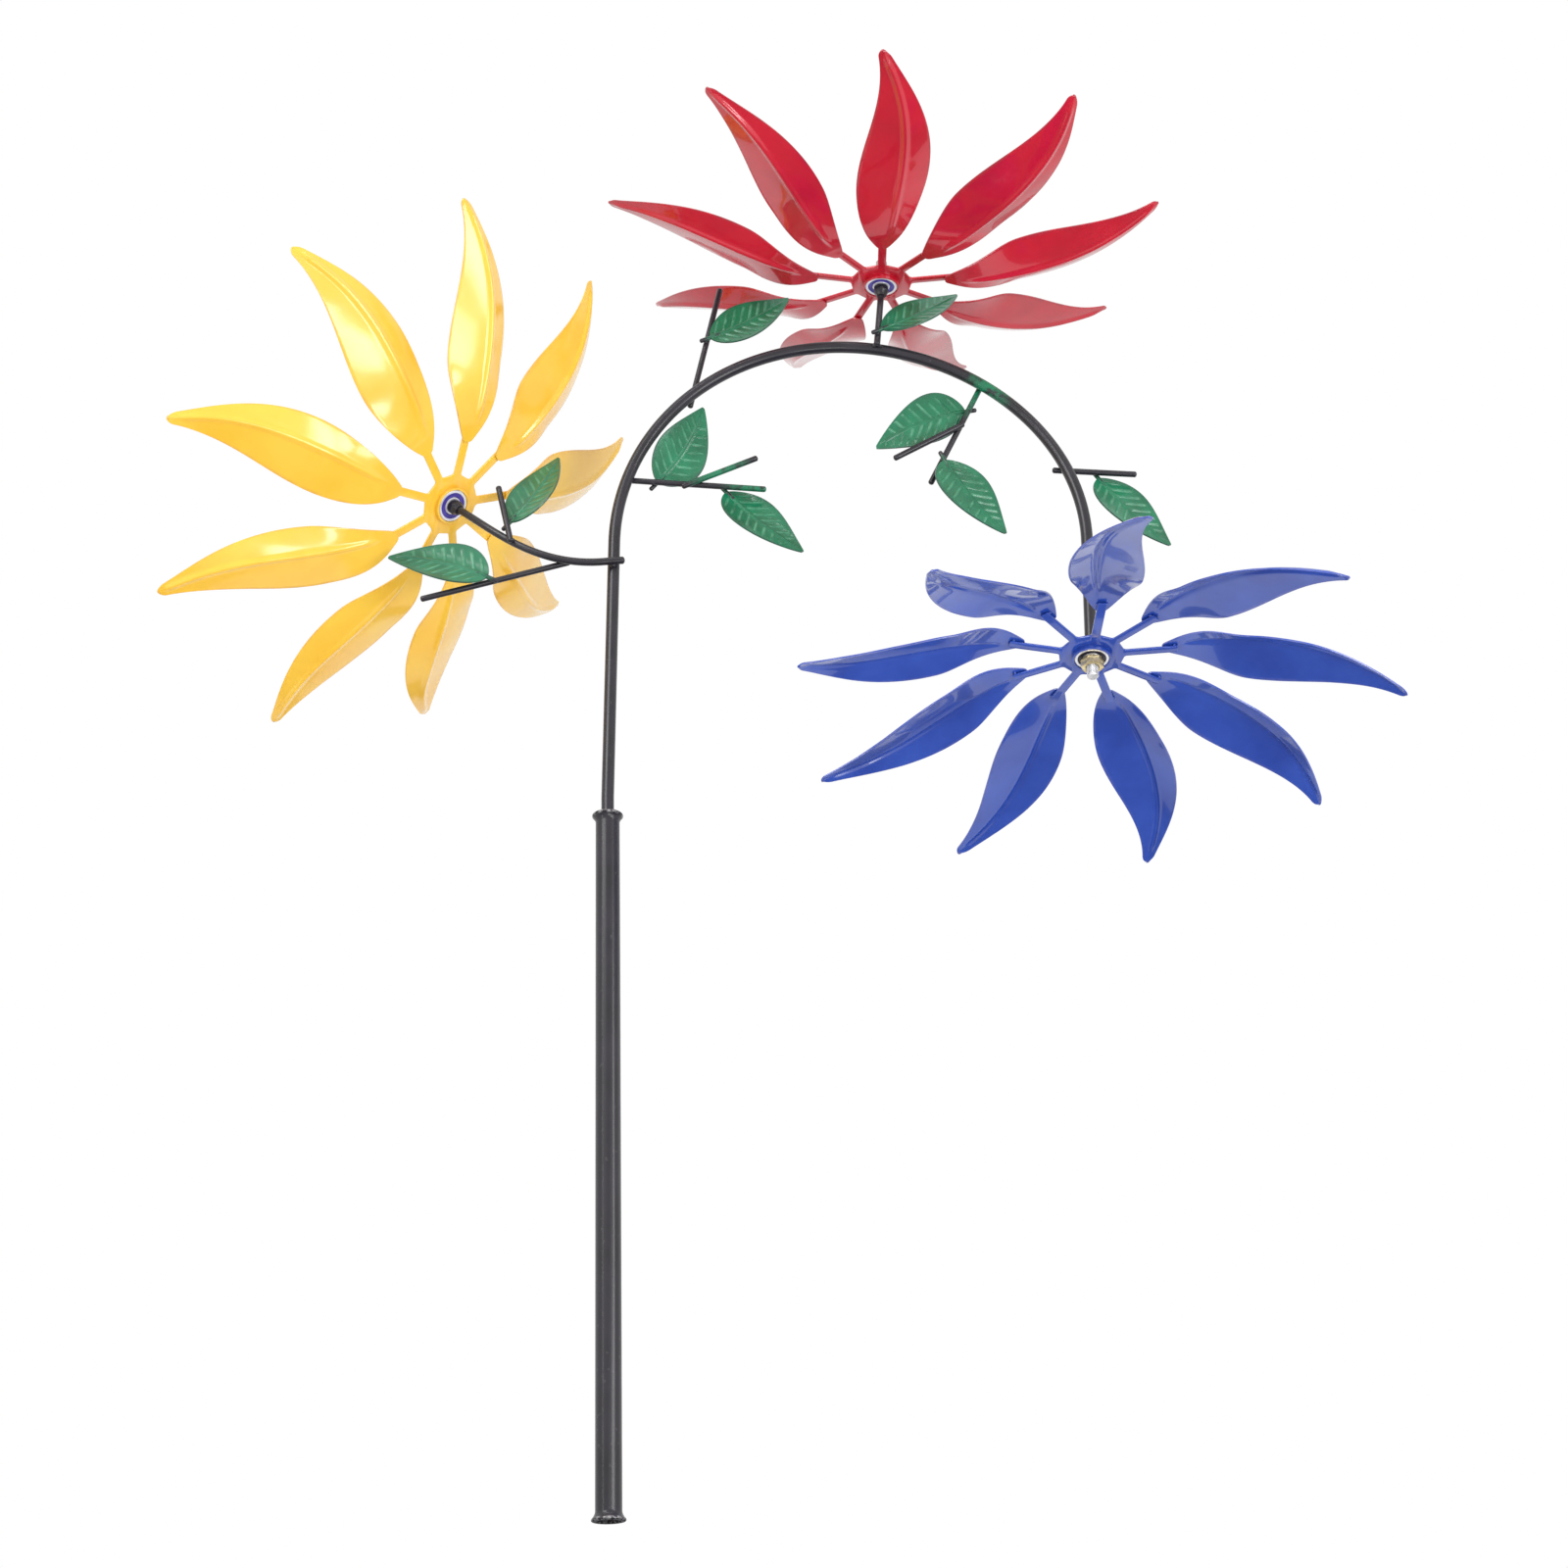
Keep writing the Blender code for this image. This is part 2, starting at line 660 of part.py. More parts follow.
def make_petals(name, rotor, surface):
    flower = FLOWERS[name]
    bent, bend_swing, bend_rise = flower.bent
    for number in range(1, PETAL_COUNT + 1):
        label = f"{name}_petal_{number}"
        swing = flower.swing + (bend_swing if number == bent else 0)
        rise = flower.rise + (bend_rise if number == bent else 0)
        turn = Matrix.Rotation((1 - number) * 2 * pi / PETAL_COUNT, 4, "Z")
        mesh = petal_sheet(label, rise, swing, flower.pitch)
        petal = finish(place(label, mesh, rotor, turn), surface)
        sheet = petal.modifiers.new("sheet", "SOLIDIFY")
        sheet.thickness = PETAL_SHEET
        sheet.offset = -1


def make_empty(name, parent, world):
    empty = bpy.data.objects.new(name, None)
    PARTS.objects.link(empty)
    empty.parent = parent
    empty.matrix_world = world
    bpy.context.view_layer.update()
    return empty


def make_sculpture():
    make_pole()
    make_stem_bush()
    swivel = make_empty("arch_swivel", None, Matrix())
    make_rods(swivel)
    make_twigs(swivel)
    make_leaves(swivel)
    for name, surface in FLOWER_PAINT.items():
        rotor = make_empty(f"{name}_rotor_axis", swivel, rotor_frame(name))
        make_bearing(name, swivel, rotor)
        make_nut(name, swivel)
        make_spider(name, rotor, surface)
        make_petals(name, rotor, surface)


clear_scene()
PARTS = new_collection("wind_sculpture")
CUTTERS = new_collection("cutters")
CHARCOAL = paint("charcoal_paint", (0.045, 0.043, 0.047), 0.45)
NYLON = paint("black_nylon", (0.02, 0.02, 0.02), 0.55)
LEAF_GREEN = paint("leaf_green_paint", (0.015, 0.22, 0.1), 0.35)
STEEL = paint("bearing_steel", (0.75, 0.75, 0.77), 0.2, 1.0)
ZINC = paint("zinc_plate", (0.8, 0.72, 0.5), 0.3, 1.0)
FLOWER_PAINT = {
    "yellow": paint("yellow_paint", (1.0, 0.56, 0.03), 0.18),
    "red": paint("red_paint", (0.55, 0.008, 0.02), 0.18),
    "blue": paint("blue_paint", (0.02, 0.05, 0.4), 0.18),
}
make_sculpture()
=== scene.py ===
# %% [markdown]
# A garden wind sculpture in Blender. Three painted flowers spin on ball bearings. One bent rod carries
# them, and the rod itself turns in a pole. The solid model already fixes where everything is, so this
# script only makes it look right: finer sheet metal, real threads and welds, and paint that has been used.

# %% Load the solid model
import json
from math import atan2, cos, pi, radians, sin, sqrt, tan

import bmesh
import bpy
from mathutils import Matrix, Vector, noise
from mathutils.geometry import interpolate_bezier


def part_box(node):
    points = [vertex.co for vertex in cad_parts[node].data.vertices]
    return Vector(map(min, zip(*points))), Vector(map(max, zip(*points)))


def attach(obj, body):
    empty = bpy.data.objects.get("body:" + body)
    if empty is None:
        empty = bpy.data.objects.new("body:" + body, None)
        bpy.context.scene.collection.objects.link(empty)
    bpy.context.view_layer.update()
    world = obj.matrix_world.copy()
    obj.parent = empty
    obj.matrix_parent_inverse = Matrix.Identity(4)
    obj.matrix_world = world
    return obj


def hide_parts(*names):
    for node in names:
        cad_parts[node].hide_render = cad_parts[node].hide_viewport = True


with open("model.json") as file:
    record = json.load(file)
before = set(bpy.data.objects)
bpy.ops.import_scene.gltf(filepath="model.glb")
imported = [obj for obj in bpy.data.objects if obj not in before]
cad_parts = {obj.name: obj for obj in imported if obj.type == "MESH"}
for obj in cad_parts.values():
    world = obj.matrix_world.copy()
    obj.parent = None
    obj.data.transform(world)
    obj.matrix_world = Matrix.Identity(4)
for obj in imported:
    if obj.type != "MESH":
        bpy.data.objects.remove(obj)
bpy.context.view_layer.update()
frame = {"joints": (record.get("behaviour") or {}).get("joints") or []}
FLOWER_COLOURS = ("yellow", "red", "blue")

# %% [markdown]
# The camera stands low in front of the sculpture and looks up, so the flowers show their undersides.
# A camera looks along its own -Z. A turn about X by a right angle plus the tilt aims it forward and up,
# and a small turn about its own Z gives the slight slant of a hand-held picture.

# %% Camera
CAMERA_PLACE = Vector((0.1112, -1.3173, -0.1983))
CAMERA_TILT = radians(26)
CAMERA_ROLL = radians(-2.2)
CAMERA_LENS = 53.4


def add_camera():
    data = bpy.data.cameras.new("camera")
    data.lens = CAMERA_LENS
    camera = bpy.data.objects.new("camera", data)
    bpy.context.scene.collection.objects.link(camera)
    turn = Matrix.Rotation(pi / 2 + CAMERA_TILT, 4, "X") @ Matrix.Rotation(CAMERA_ROLL, 4, "Z")
    camera.matrix_world = Matrix.Translation(CAMERA_PLACE) @ turn
    bpy.context.scene.camera = camera
    return camera


print("camera at", tuple(add_camera().location))

# %% [markdown]
# Materials and shapes are both made of nodes here, so two small helpers come first. The first adds a node
# and feeds its sockets. The second wraps a number in a node tree, so that ordinary arithmetic on it adds
# Math nodes. A formula then reads in the script as it would on paper.

# %% Helpers for node trees


def feed(tree, value, socket):
    """A link where the value comes from a node, or a plain number on the socket itself."""
    if isinstance(value, Number):
        tree.links.new(value.socket, socket)
    elif isinstance(value, bpy.types.NodeSocket):
        tree.links.new(value, socket)
    else:
        socket.default_value = value


def step(tree, kind, inputs=None, **options):
    """A new node with its options set and its inputs fed."""
    node = tree.nodes.new(kind)
    for option, value in options.items():
        setattr(node, option, value)
    for label, value in (inputs or {}).items():
        feed(tree, value, node.inputs[label])
    return node


class Number:
    """A number in a node tree. Arithmetic on it adds Math nodes."""

    def __init__(self, tree, socket):
        self.tree = tree
        self.socket = socket

    def math(self, operation, *others):
        node = step(self.tree, "ShaderNodeMath", operation=operation)
        for socket, value in zip(node.inputs, (self, *others)):
            feed(self.tree, value, socket)
        return Number(self.tree, node.outputs[0])

    def __add__(self, other):
        return self.math("ADD", other)

    def __sub__(self, other):
        return self.math("SUBTRACT", other)

    def __rsub__(self, other):
        return self.math("MULTIPLY_ADD", -1, other)

    def __mul__(self, other):
        return self.math("MULTIPLY", other)

    def __truediv__(self, other):
        return self.math("DIVIDE", other)

    def __pow__(self, other):
        return self.math("POWER", other)

    def __abs__(self):
        return self.math("ABSOLUTE")

    def least(self, other):
        return self.math("MINIMUM", other)

    def most(self, other):
        return self.math("MAXIMUM", other)

    def hump(self):
        """1 at zero, falling away smoothly on both sides."""
        return (self * self * -1).math("EXPONENT")

    def eased(self, low, high):
        """0 below low, 1 above high, and a smooth step between them."""
        node = step(self.tree, "ShaderNodeMapRange", {"Value": self, "From Min": low, "From Max": high},
                    interpolation_type="SMOOTHSTEP")
        return Number(self.tree, node.outputs[0])


print("node helpers ready")

# %% [markdown]
# Colours are written as they look on a screen, from 0 to 255, and turned into the linear values that a
# shader takes. Every finish starts from the same few parts: a cloud of noise on the object's own
# coordinates, a ramp that turns it into colour, and a bump for the fine texture of its surface.

# %% Helpers for finishes


def screen_colour(red, green, blue):
    """The linear colour of a screen colour, by the usual sRGB curve."""
    def linear(level):
        share = level / 255
        return share / 12.92 if share <= 0.04045 else ((share + 0.055) / 1.055) ** 2.4
    return (linear(red), linear(green), linear(blue), 1)


def new_finish(name, settings):
    """A material, its tree, its shader with the settings on it, and the object's own coordinates."""
    finish = bpy.data.materials.new(name)
    finish.use_nodes = True
    tree = finish.node_tree
    shader = tree.nodes["Principled BSDF"]
    for label, value in settings.items():
        shader.inputs[label].default_value = value
    return finish, tree, shader, step(tree, "ShaderNodeTexCoord").outputs["Object"]


def cloud(tree, place, scale, detail=2.0):
    node = step(tree, "ShaderNodeTexNoise", {"Vector": place, "Scale": scale, "Detail": detail})
    return Number(tree, node.outputs[0])


def ramp(tree, share, low, deep, high, full):
    """The deep colour up to low, the full one from high, and a blend between them."""
    node = step(tree, "ShaderNodeValToRGB", {"Fac": share})
    for element, position, colour in zip(node.color_ramp.elements, (low, high), (deep, full)):
        element.position = position
        element.color = colour
    return node.outputs["Color"]


def blended(tree, share, under, over):
    node = step(tree, "ShaderNodeMix", data_type="RGBA")
    for socket, value in zip((node.inputs[0], node.inputs[6], node.inputs[7]), (share, under, over)):
        feed(tree, value, socket)
    return node.outputs[2]


def own_value(tree, name):
    """A number that the piece's mesh carries, or 0 where it has none."""
    return Number(tree, step(tree, "ShaderNodeAttribute", attribute_name=name).outputs["Fac"])


def broken(tree, place, name, scale, detail, low, high, strength=1.0):
    """A number that the mesh carries, broken up by a cloud that is cut off between low and high."""
    return own_value(tree, name) * cloud(tree, place, scale, detail).eased(low, high) * strength


def uneven(tree, place, scale, floor, spread):
    """A number that wanders from a floor up to the floor plus its spread."""
    return cloud(tree, place, scale, detail=3) * spread + floor


def roughen(tree, shader, height, distance, strength):
    bump = step(tree, "ShaderNodeBump", {"Height": height, "Distance": distance, "Strength": strength})
    feed(tree, bump.outputs["Normal"], shader.inputs["Normal"])
    feed(tree, bump.outputs["Normal"], shader.inputs["Coat Normal"])


print("finish helpers ready")

# %% [markdown]
# The flowers are sprayed with glossy enamel. A clear coat over the colour gives the hard reflections, and a
# slight orange-peel bump makes their edges wobble as they do on sprayed sheet. The colour clouds a little
# where the coat is thin. Along the cut edge it goes dull, where paint draws back and rubs off. The colour
# there is partly that worn paint and partly painted light: a thin painted dark outline on the red and the
# yellow, and a pale painted highlight on the blue.
# The yellow has a duller coat than the others, so its highlights have soft edges.

# %% Flower paint
# Each edge colour is partly worn paint and partly painted light along the rim: painted shade on the red and
# the yellow, a painted highlight on the blue.
PAINTS = {
    "yellow": dict(deep=(250, 190, 46), full=(253, 203, 66), edge=(230, 168, 64), coat_roughness=0.13),
    "red": dict(deep=(176, 8, 34), full=(198, 14, 42), edge=(146, 26, 46), coat_roughness=0.03),
    "blue": dict(deep=(31, 62, 154), full=(44, 78, 174), edge=(88, 96, 168), coat_roughness=0.03),
}
RUB_DULLING = 0.25


def flower_paint(name, deep, full, edge, coat_roughness):
    finish, tree, shader, place = new_finish(
        name, {"Specular IOR Level": 0.4, "Coat Weight": 0.8, "Coat Roughness": coat_roughness})
    clouds = cloud(tree, place, scale=22, detail=4)
    body = ramp(tree, clouds, 0.3, screen_colour(*deep), 0.62, screen_colour(*full))
    # The edge band mixes in worn paint and painted light along the rim: painted shade on the red and the
    # yellow, a painted highlight on the blue.
    rim_light_and_wear = broken(tree, place, "edge", scale=120, detail=3, low=0.3, high=0.6, strength=0.7)
    feed(tree, blended(tree, rim_light_and_wear, body, screen_colour(*edge)), shader.inputs["Base Color"])
    dullness = uneven(tree, place, scale=70, floor=0.12, spread=0.14) + rim_light_and_wear * RUB_DULLING
    feed(tree, dullness, shader.inputs["Roughness"])
    roughen(tree, shader, cloud(tree, place, scale=75, detail=1), distance=0.0002, strength=0.2)
    return finish


FLOWER_PAINT = {colour: flower_paint(f"{colour}_enamel", **paint) for colour, paint in PAINTS.items()}
print("paints:", [finish.name for finish in FLOWER_PAINT.values()])

# %% [markdown]
# The leaves carry a satin green, laid on thinner than the flowers' enamel, so the pressed veins show through.
# Their ridges are paler, partly paint worn thin and partly a painted highlight, and their rim is darker as
# painted shade.
# The rods and the pole are charcoal, close to a powder coat: a fine grain, a broad soft highlight, and a few
# pale rub marks. The green was sprayed after the rods, and it drifted onto the wires around some leaves.
# That drift is a number stored on the wires themselves, broken up by noise.

# %% Leaf enamel and charcoal
LEAF_DEEP = screen_colour(8, 90, 59)
LEAF_FULL = screen_colour(18, 117, 80)
LEAF_RIM_PAINTED_SHADE = screen_colour(38, 84, 66)
LEAF_RIDGE_SHEEN_AND_WEAR = screen_colour(104, 178, 142)
CHARCOAL_DEEP = screen_colour(25, 23, 28)
CHARCOAL_FULL = screen_colour(38, 35, 43)
WORN_GREY_AND_FOOT_LIGHT = screen_colour(172, 170, 172)
SPECK_STRENGTH = 0.08


def leaf_enamel():
    finish, tree, shader, place = new_finish(
        "leaf_enamel", {"Specular IOR Level": 0.4, "Coat Weight": 0.4, "Coat Roughness": 0.09})
    body = ramp(tree, cloud(tree, place, scale=60, detail=5), 0.32, LEAF_DEEP, 0.66, LEAF_FULL)
    # Paler ridges: partly paint worn thin on the veins, partly a painted highlight along them.
    ridge_sheen_and_wear = broken(tree, place, "ridge", scale=110, detail=2, low=0.3, high=0.7, strength=0.6)
    body = blended(tree, ridge_sheen_and_wear, body, LEAF_RIDGE_SHEEN_AND_WEAR)
    # The darker rim is painted shade along the leaf's rolled edge.
    rim = broken(tree, place, "edge", scale=300, detail=3, low=0.25, high=0.55)
    feed(tree, blended(tree, rim, body, LEAF_RIM_PAINTED_SHADE), shader.inputs["Base Color"])
    feed(tree, uneven(tree, place, scale=150, floor=0.24, spread=0.2), shader.inputs["Roughness"])
    roughen(tree, shader, cloud(tree, place, scale=1300), distance=0.00005, strength=0.45)
    return finish


def charcoal_enamel():
    finish, tree, shader, place = new_finish(
        "charcoal_enamel", {"Specular IOR Level": 0.25, "Coat Weight": 0.4, "Coat Roughness": 0.18})
    body = ramp(tree, cloud(tree, place, scale=45, detail=5), 0.3, CHARCOAL_DEEP, 0.7, CHARCOAL_FULL)
    # On the pole this marks worn paint at the lips. At the foot's flat ring it is partly painted light, pale
    # metal where the floor shades it.
    wear_and_foot_light = broken(tree, place, "edge", scale=420, detail=3, low=0.42, high=0.62, strength=0.7)
    feed(tree, wear_and_foot_light, shader.inputs["Metallic"])
    specks = cloud(tree, place, scale=240, detail=4).eased(0.66, 0.74) * SPECK_STRENGTH
    body = blended(tree, wear_and_foot_light.most(specks), body, WORN_GREY_AND_FOOT_LIGHT)
    drift = broken(tree, place, "drift", scale=190, detail=5, low=0.3, high=0.56)
    feed(tree, blended(tree, drift, body, LEAF_FULL), shader.inputs["Base Color"])
    feed(tree, uneven(tree, place, scale=90, floor=0.3, spread=0.2), shader.inputs["Roughness"])
    roughen(tree, shader, cloud(tree, place, scale=900, detail=3), distance=0.00004, strength=0.07)
    return finish


LEAF_ENAMEL = leaf_enamel()
CHARCOAL = charcoal_enamel()
print("paints:", LEAF_ENAMEL.name, CHARCOAL.name)

# %% [markdown]
# Small hardware: ground bearing steel, a violet bearing seal and a copy of it painted dark as painted shade,
# a nut in yellowish zinc, a bright bolt thread, and a black nylon bush. The metals differ in tint, in
# roughness and in the size of their grain.

# %% Metals, seal and nylon
METAL_WANDER = 3
METAL_GRAIN = 8


def metal(name, dark, bright, roughness, scale, metallic):
    finish, tree, shader, place = new_finish(name, {"Metallic": metallic})
    clouds = cloud(tree, place, scale, detail=4)
    tint = ramp(tree, clouds, 0.3, screen_colour(*dark), 0.68, screen_colour(*bright))
    feed(tree, tint, shader.inputs["Base Color"])
    feed(tree, uneven(tree, place, scale * METAL_WANDER, roughness, spread=0.2), shader.inputs["Roughness"])
    roughen(tree, shader, cloud(tree, place, scale * METAL_GRAIN), distance=0.00003, strength=0.3)
    return finish


def moulding(name, dark, full, roughness):
    finish, tree, shader, place = new_finish(name, {"IOR": 1.5})
    clouds = cloud(tree, place, scale=180, detail=4)
    tint = ramp(tree, clouds, 0.3, screen_colour(*dark), 0.7, screen_colour(*full))
    feed(tree, tint, shader.inputs["Base Color"])
    feed(tree, uneven(tree, place, scale=320, floor=roughness, spread=0.2), shader.inputs["Roughness"])
    roughen(tree, shader, cloud(tree, place, scale=1600), distance=0.00004, strength=0.35)
    return finish


BEARING_STEEL = metal(
    "ground_steel", dark=(234, 234, 242), bright=(250, 250, 253), roughness=0.22, scale=200, metallic=0.6)
ZINC = metal(
    "yellow_zinc", dark=(216, 190, 130), bright=(248, 234, 190), roughness=0.16, scale=240, metallic=0.7)
BOLT_STEEL = metal(
    "bolt_steel", dark=(176, 176, 180), bright=(232, 232, 234), roughness=0.18, scale=260, metallic=0.7)
SEAL = moulding("bearing_seal", dark=(52, 40, 130), full=(84, 70, 178), roughness=0.25)
# The same seal painted dark: painted shade for the nut side's deep recess.
SEAL_PAINTED_SHADE = moulding("painted_shade_seal", dark=(24, 22, 34), full=(44, 42, 62), roughness=0.25)
NYLON = moulding("bush_nylon", dark=(26, 26, 28), full=(40, 40, 42), roughness=0.4)
print("hardware:", [finish.name for finish in (BEARING_STEEL, ZINC, BOLT_STEEL, SEAL, SEAL_PAINTED_SHADE, NYLON)])

# %% [markdown]
# Every finished piece goes through the same last step. Its modifiers are turned into a plain mesh, its place
# goes into the mesh, it rides on a body of the solid model, and the solids it stands for are hidden. The
# printed line tells how far its box departs from those solids, so a slip in a formula shows at once.

# %% Helpers that finish a piece
SHARP_EDGE = radians(48)
MILLIMETRE = 0.001


def new_object(name, data):
    item = bpy.data.objects.new(name, data)
    bpy.context.scene.collection.objects.link(item)
    return item


def plain_mesh(item):
    """The object's evaluated shape becomes its own mesh, and its modifiers go."""
    shape = item.evaluated_get(bpy.context.evaluated_depsgraph_get())
    mesh = bpy.data.meshes.new_from_object(shape)
    item.modifiers.clear()
    item.data = mesh
    return item


def box_of(points):
    columns = list(zip(*points))
    return [*map(min, columns), *map(max, columns)]


def settle(item, body, nodes=(), place=None):
    """The last step of a piece: its place, smooth shading, its body, and the solids it stands for."""
    mesh = item.data
    mesh.transform(place or Matrix())
    mesh.shade_smooth()
    mesh.set_sharp_from_angle(angle=SHARP_EDGE)
    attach(item, body)
    report = f"{item.name}: {sum(len(face.vertices) - 2 for face in mesh.polygons)} triangles"
    if nodes:
        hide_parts(*nodes)
        solid = box_of([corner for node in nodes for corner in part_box(node)])
        shown = box_of([vertex.co for vertex in mesh.vertices])
        off = max(abs(have - want) for have, want in zip(shown, solid))
        report += f", box within {off / MILLIMETRE:.1f} mm of the solid's"
    print(report)
    return item


print("finishing helpers ready")

# %% [markdown]
# Geometry Nodes trees are made by script, one tree for each kind of shape. A tree has named inputs for its
# sizes, and a modifier sets them by identifier before the shape is first worked out. Every tree ends in
# Realize Instances and Set Material, because an instance is only a reference and would be lost on export.

# %% Helpers for Geometry Nodes
SOCKET_KINDS = {float: "NodeSocketFloat", int: "NodeSocketInt", type(None): "NodeSocketMaterial"}


def new_recipe(name, sizes):
    """A tree with named inputs, and the numbers that they give inside it."""
    tree = bpy.data.node_groups.new(name, "GeometryNodeTree")
    tree.interface.new_socket("Geometry", in_out="OUTPUT", socket_type="NodeSocketGeometry")
    tree.interface.new_socket("Geometry", in_out="INPUT", socket_type="NodeSocketGeometry")
    for label, value in sizes.items():
        socket = tree.interface.new_socket(label, in_out="INPUT", socket_type=SOCKET_KINDS[type(value)])
        if value is not None:
            socket.default_value = value
    given = step(tree, "NodeGroupInput")
    return tree, {socket.name: Number(tree, socket) for socket in given.outputs if socket.name}


def end_recipe(tree, shape, finish):
    solid = step(tree, "GeometryNodeRealizeInstances", {"Geometry": shape}).outputs[0]
    painted = step(tree, "GeometryNodeSetMaterial", {"Geometry": solid, "Material": finish}).outputs[0]
    feed(tree, painted, step(tree, "NodeGroupOutput").inputs[0])


def recipe_object(name, tree, values, mesh=None):
    """An object that a tree gives its shape, from a mesh or from nothing."""
    item = new_object(name, mesh or bpy.data.meshes.new(name))
    modifier = item.modifiers.new(tree.name, "NODES")
    modifier.node_group = tree
    for socket in tree.interface.items_tree:
        if socket.in_out == "INPUT" and socket.name in values:
            modifier[socket.identifier] = values[socket.name]
    return item


print("a tree's inputs may be:", sorted(SOCKET_KINDS.values()))

# %% [markdown]
# A few steps come up in every tree: three numbers joined to a vector, a flat grid with numbers on it, a
# number stored on points and read again, a fixed random draw, and points that are moved or merged.

# %% Helpers for points and fields


def joined_axes(tree, x, y, z):
    return step(tree, "ShaderNodeCombineXYZ", {"X": x, "Y": y, "Z": z}).outputs[0]


def unit_grid(tree, rows, columns):
    """A flat grid and two numbers on it, 0 to 1 along it and -1 to 1 across it."""
    grid = step(tree, "GeometryNodeMeshGrid",
                {"Size X": 1.0, "Size Y": 1.0, "Vertices X": rows, "Vertices Y": columns}).outputs["Mesh"]
    place = step(tree, "GeometryNodeInputPosition").outputs[0]
    x, y, _ = step(tree, "ShaderNodeSeparateXYZ", {"Vector": place}).outputs
    return grid, Number(tree, x) + 0.5, Number(tree, y) * 2


def stored(tree, shape, name, value):
    node = step(tree, "GeometryNodeStoreNamedAttribute", {"Geometry": shape, "Name": name, "Value": value})
    return node.outputs[0]


def named(tree, name):
    node = step(tree, "GeometryNodeInputNamedAttribute", {"Name": name}, data_type="FLOAT")
    return Number(tree, node.outputs["Attribute"])


def chance(tree, low, high, seed):
    """A random number for each point, fixed by its seed."""
    node = step(tree, "FunctionNodeRandomValue", {2: low, 3: high, "Seed": seed}, data_type="FLOAT")
    return Number(tree, node.outputs[1])


def moved(tree, shape, way, value):
    """The shape with its points set to a Position, or shifted by an Offset."""
    return step(tree, "GeometryNodeSetPosition", {"Geometry": shape, way: value}).outputs[0]


def scaled(tree, vector, factor):
    return step(tree, "ShaderNodeVectorMath", {0: vector, "Scale": factor}, operation="SCALE").outputs[0]


def rotation(tree, x, y, z):
    """A turn for instances, from an angle about each axis."""
    return step(tree, "FunctionNodeEulerToRotation", {"Euler": joined_axes(tree, x, y, z)}).outputs[0]


def merged(tree, shape, distance):
    return step(tree, "GeometryNodeMergeByDistance", {"Geometry": shape, "Distance": distance}).outputs[0]


print("point and field helpers ready")

# %% [markdown]
# The rotors' places come from the joints of the solid model: a point on the axle and the way it points.
# Each flower also has its own turn at rest.

# %% Rotor places
FRONT = Vector((0, -1, 0))
BACK = -FRONT
REST_TURN = {"yellow": radians(132.5), "red": radians(90), "blue": radians(88.5)}
JOINTS = {joint["name"]: joint for joint in frame["joints"]}


def placement(origin, along, normal):
    """A place with X along a direction and Z along a normal square to it."""
    turn = Matrix((along, normal.cross(along), normal)).transposed()
    return Matrix.Translation(origin) @ turn.to_4x4()


def axle_direction(colour):
    return Vector(JOINTS[f"{colour}_spin"]["axis"]).normalized()


def rotor_place(colour):
    axle = axle_direction(colour)
    hub = Vector(JOINTS[f"{colour}_spin"]["pos_m"])
    return placement(hub, axle.cross(BACK).normalized(), axle) @ Matrix.Rotation(REST_TURN[colour], 4, "Z")


ROTOR = {colour: rotor_place(colour) for colour in FLOWER_COLOURS}
print("rotors at", {colour: tuple(round(x, 3) for x in place.translation) for colour, place in ROTOR.items()})

# %% [markdown]
# A petal is a pressed steel sheet: a sickle outline, dished towards the front, with one sharp rib struck
# along it. It could be modelled by hand and copied, but its shape follows a rule, so a grid is bent by
# formula instead: one number runs along the petal and one across it. The outline comes first, as a half width
# that swells from the base, is widest before the middle, and closes in a round tip.

# %% Petal outline
PETAL_COUNT = 9
PETAL_LENGTH = 0.148
PETAL_SWELL_POWERS = (1.0, 1.35)
TIP_ROUNDING = 0.0038
BASE_ROUNDING = 0.0016
BASE_NARROWING = 0.6
PETAL_SIZES = {
    "Rows": 84, "Columns": 35, "Petals": PETAL_COUNT, "Rise": 0.045, "Swing": 0.0, "Pitch": 0.0,
    "Half width": 0.0195, "Base half width": 0.003, "Tip half width": 0.0036, "Sweep": 0.008, "Hook": 0.0067,
    "Dish": 0.0066, "Rib height": 0.0014, "Rib half width": 0.0017, "Rib shift": 0.006, "Twist": radians(1.6),
    "Bent petal": 1, "Bend swing": 0.0, "Bend rise": 0.0, "Dents": 0.00045, "Seed": 3, "Paint": None,
}


def petal_outline(size, share):
    """The half width along a petal, without and with its rounded ends."""
    before, after = PETAL_SWELL_POWERS
    widest = before / (before + after)
    swell = (share / widest) ** before * ((1 - share) / (1 - widest)) ** after
    ends = size["Base half width"] * (1 - share) + size["Tip half width"] * share
    width = ends + size["Half width"] * swell
    tip = ((share - 1) * (PETAL_LENGTH / TIP_ROUNDING) + 1).most(0)
    base = (1 - share * (PETAL_LENGTH / BASE_ROUNDING)).most(0)
    return width, width * (1 - tip * tip) ** 0.5 * (1 - base * base * BASE_NARROWING) ** 0.5


print("petal grid:", PETAL_SIZES["Rows"], "by", PETAL_SIZES["Columns"], "points")

# %% [markdown]
# Now the grid's points are placed. The rib lies off the middle, where the two flanks meet, and the grid's
# columns crowd towards it. Each point has an offset from the petal's middle line and a height over it. The
# middle line sweeps and rises, the section leans with the pitch, and heights are laid off square to the rise.

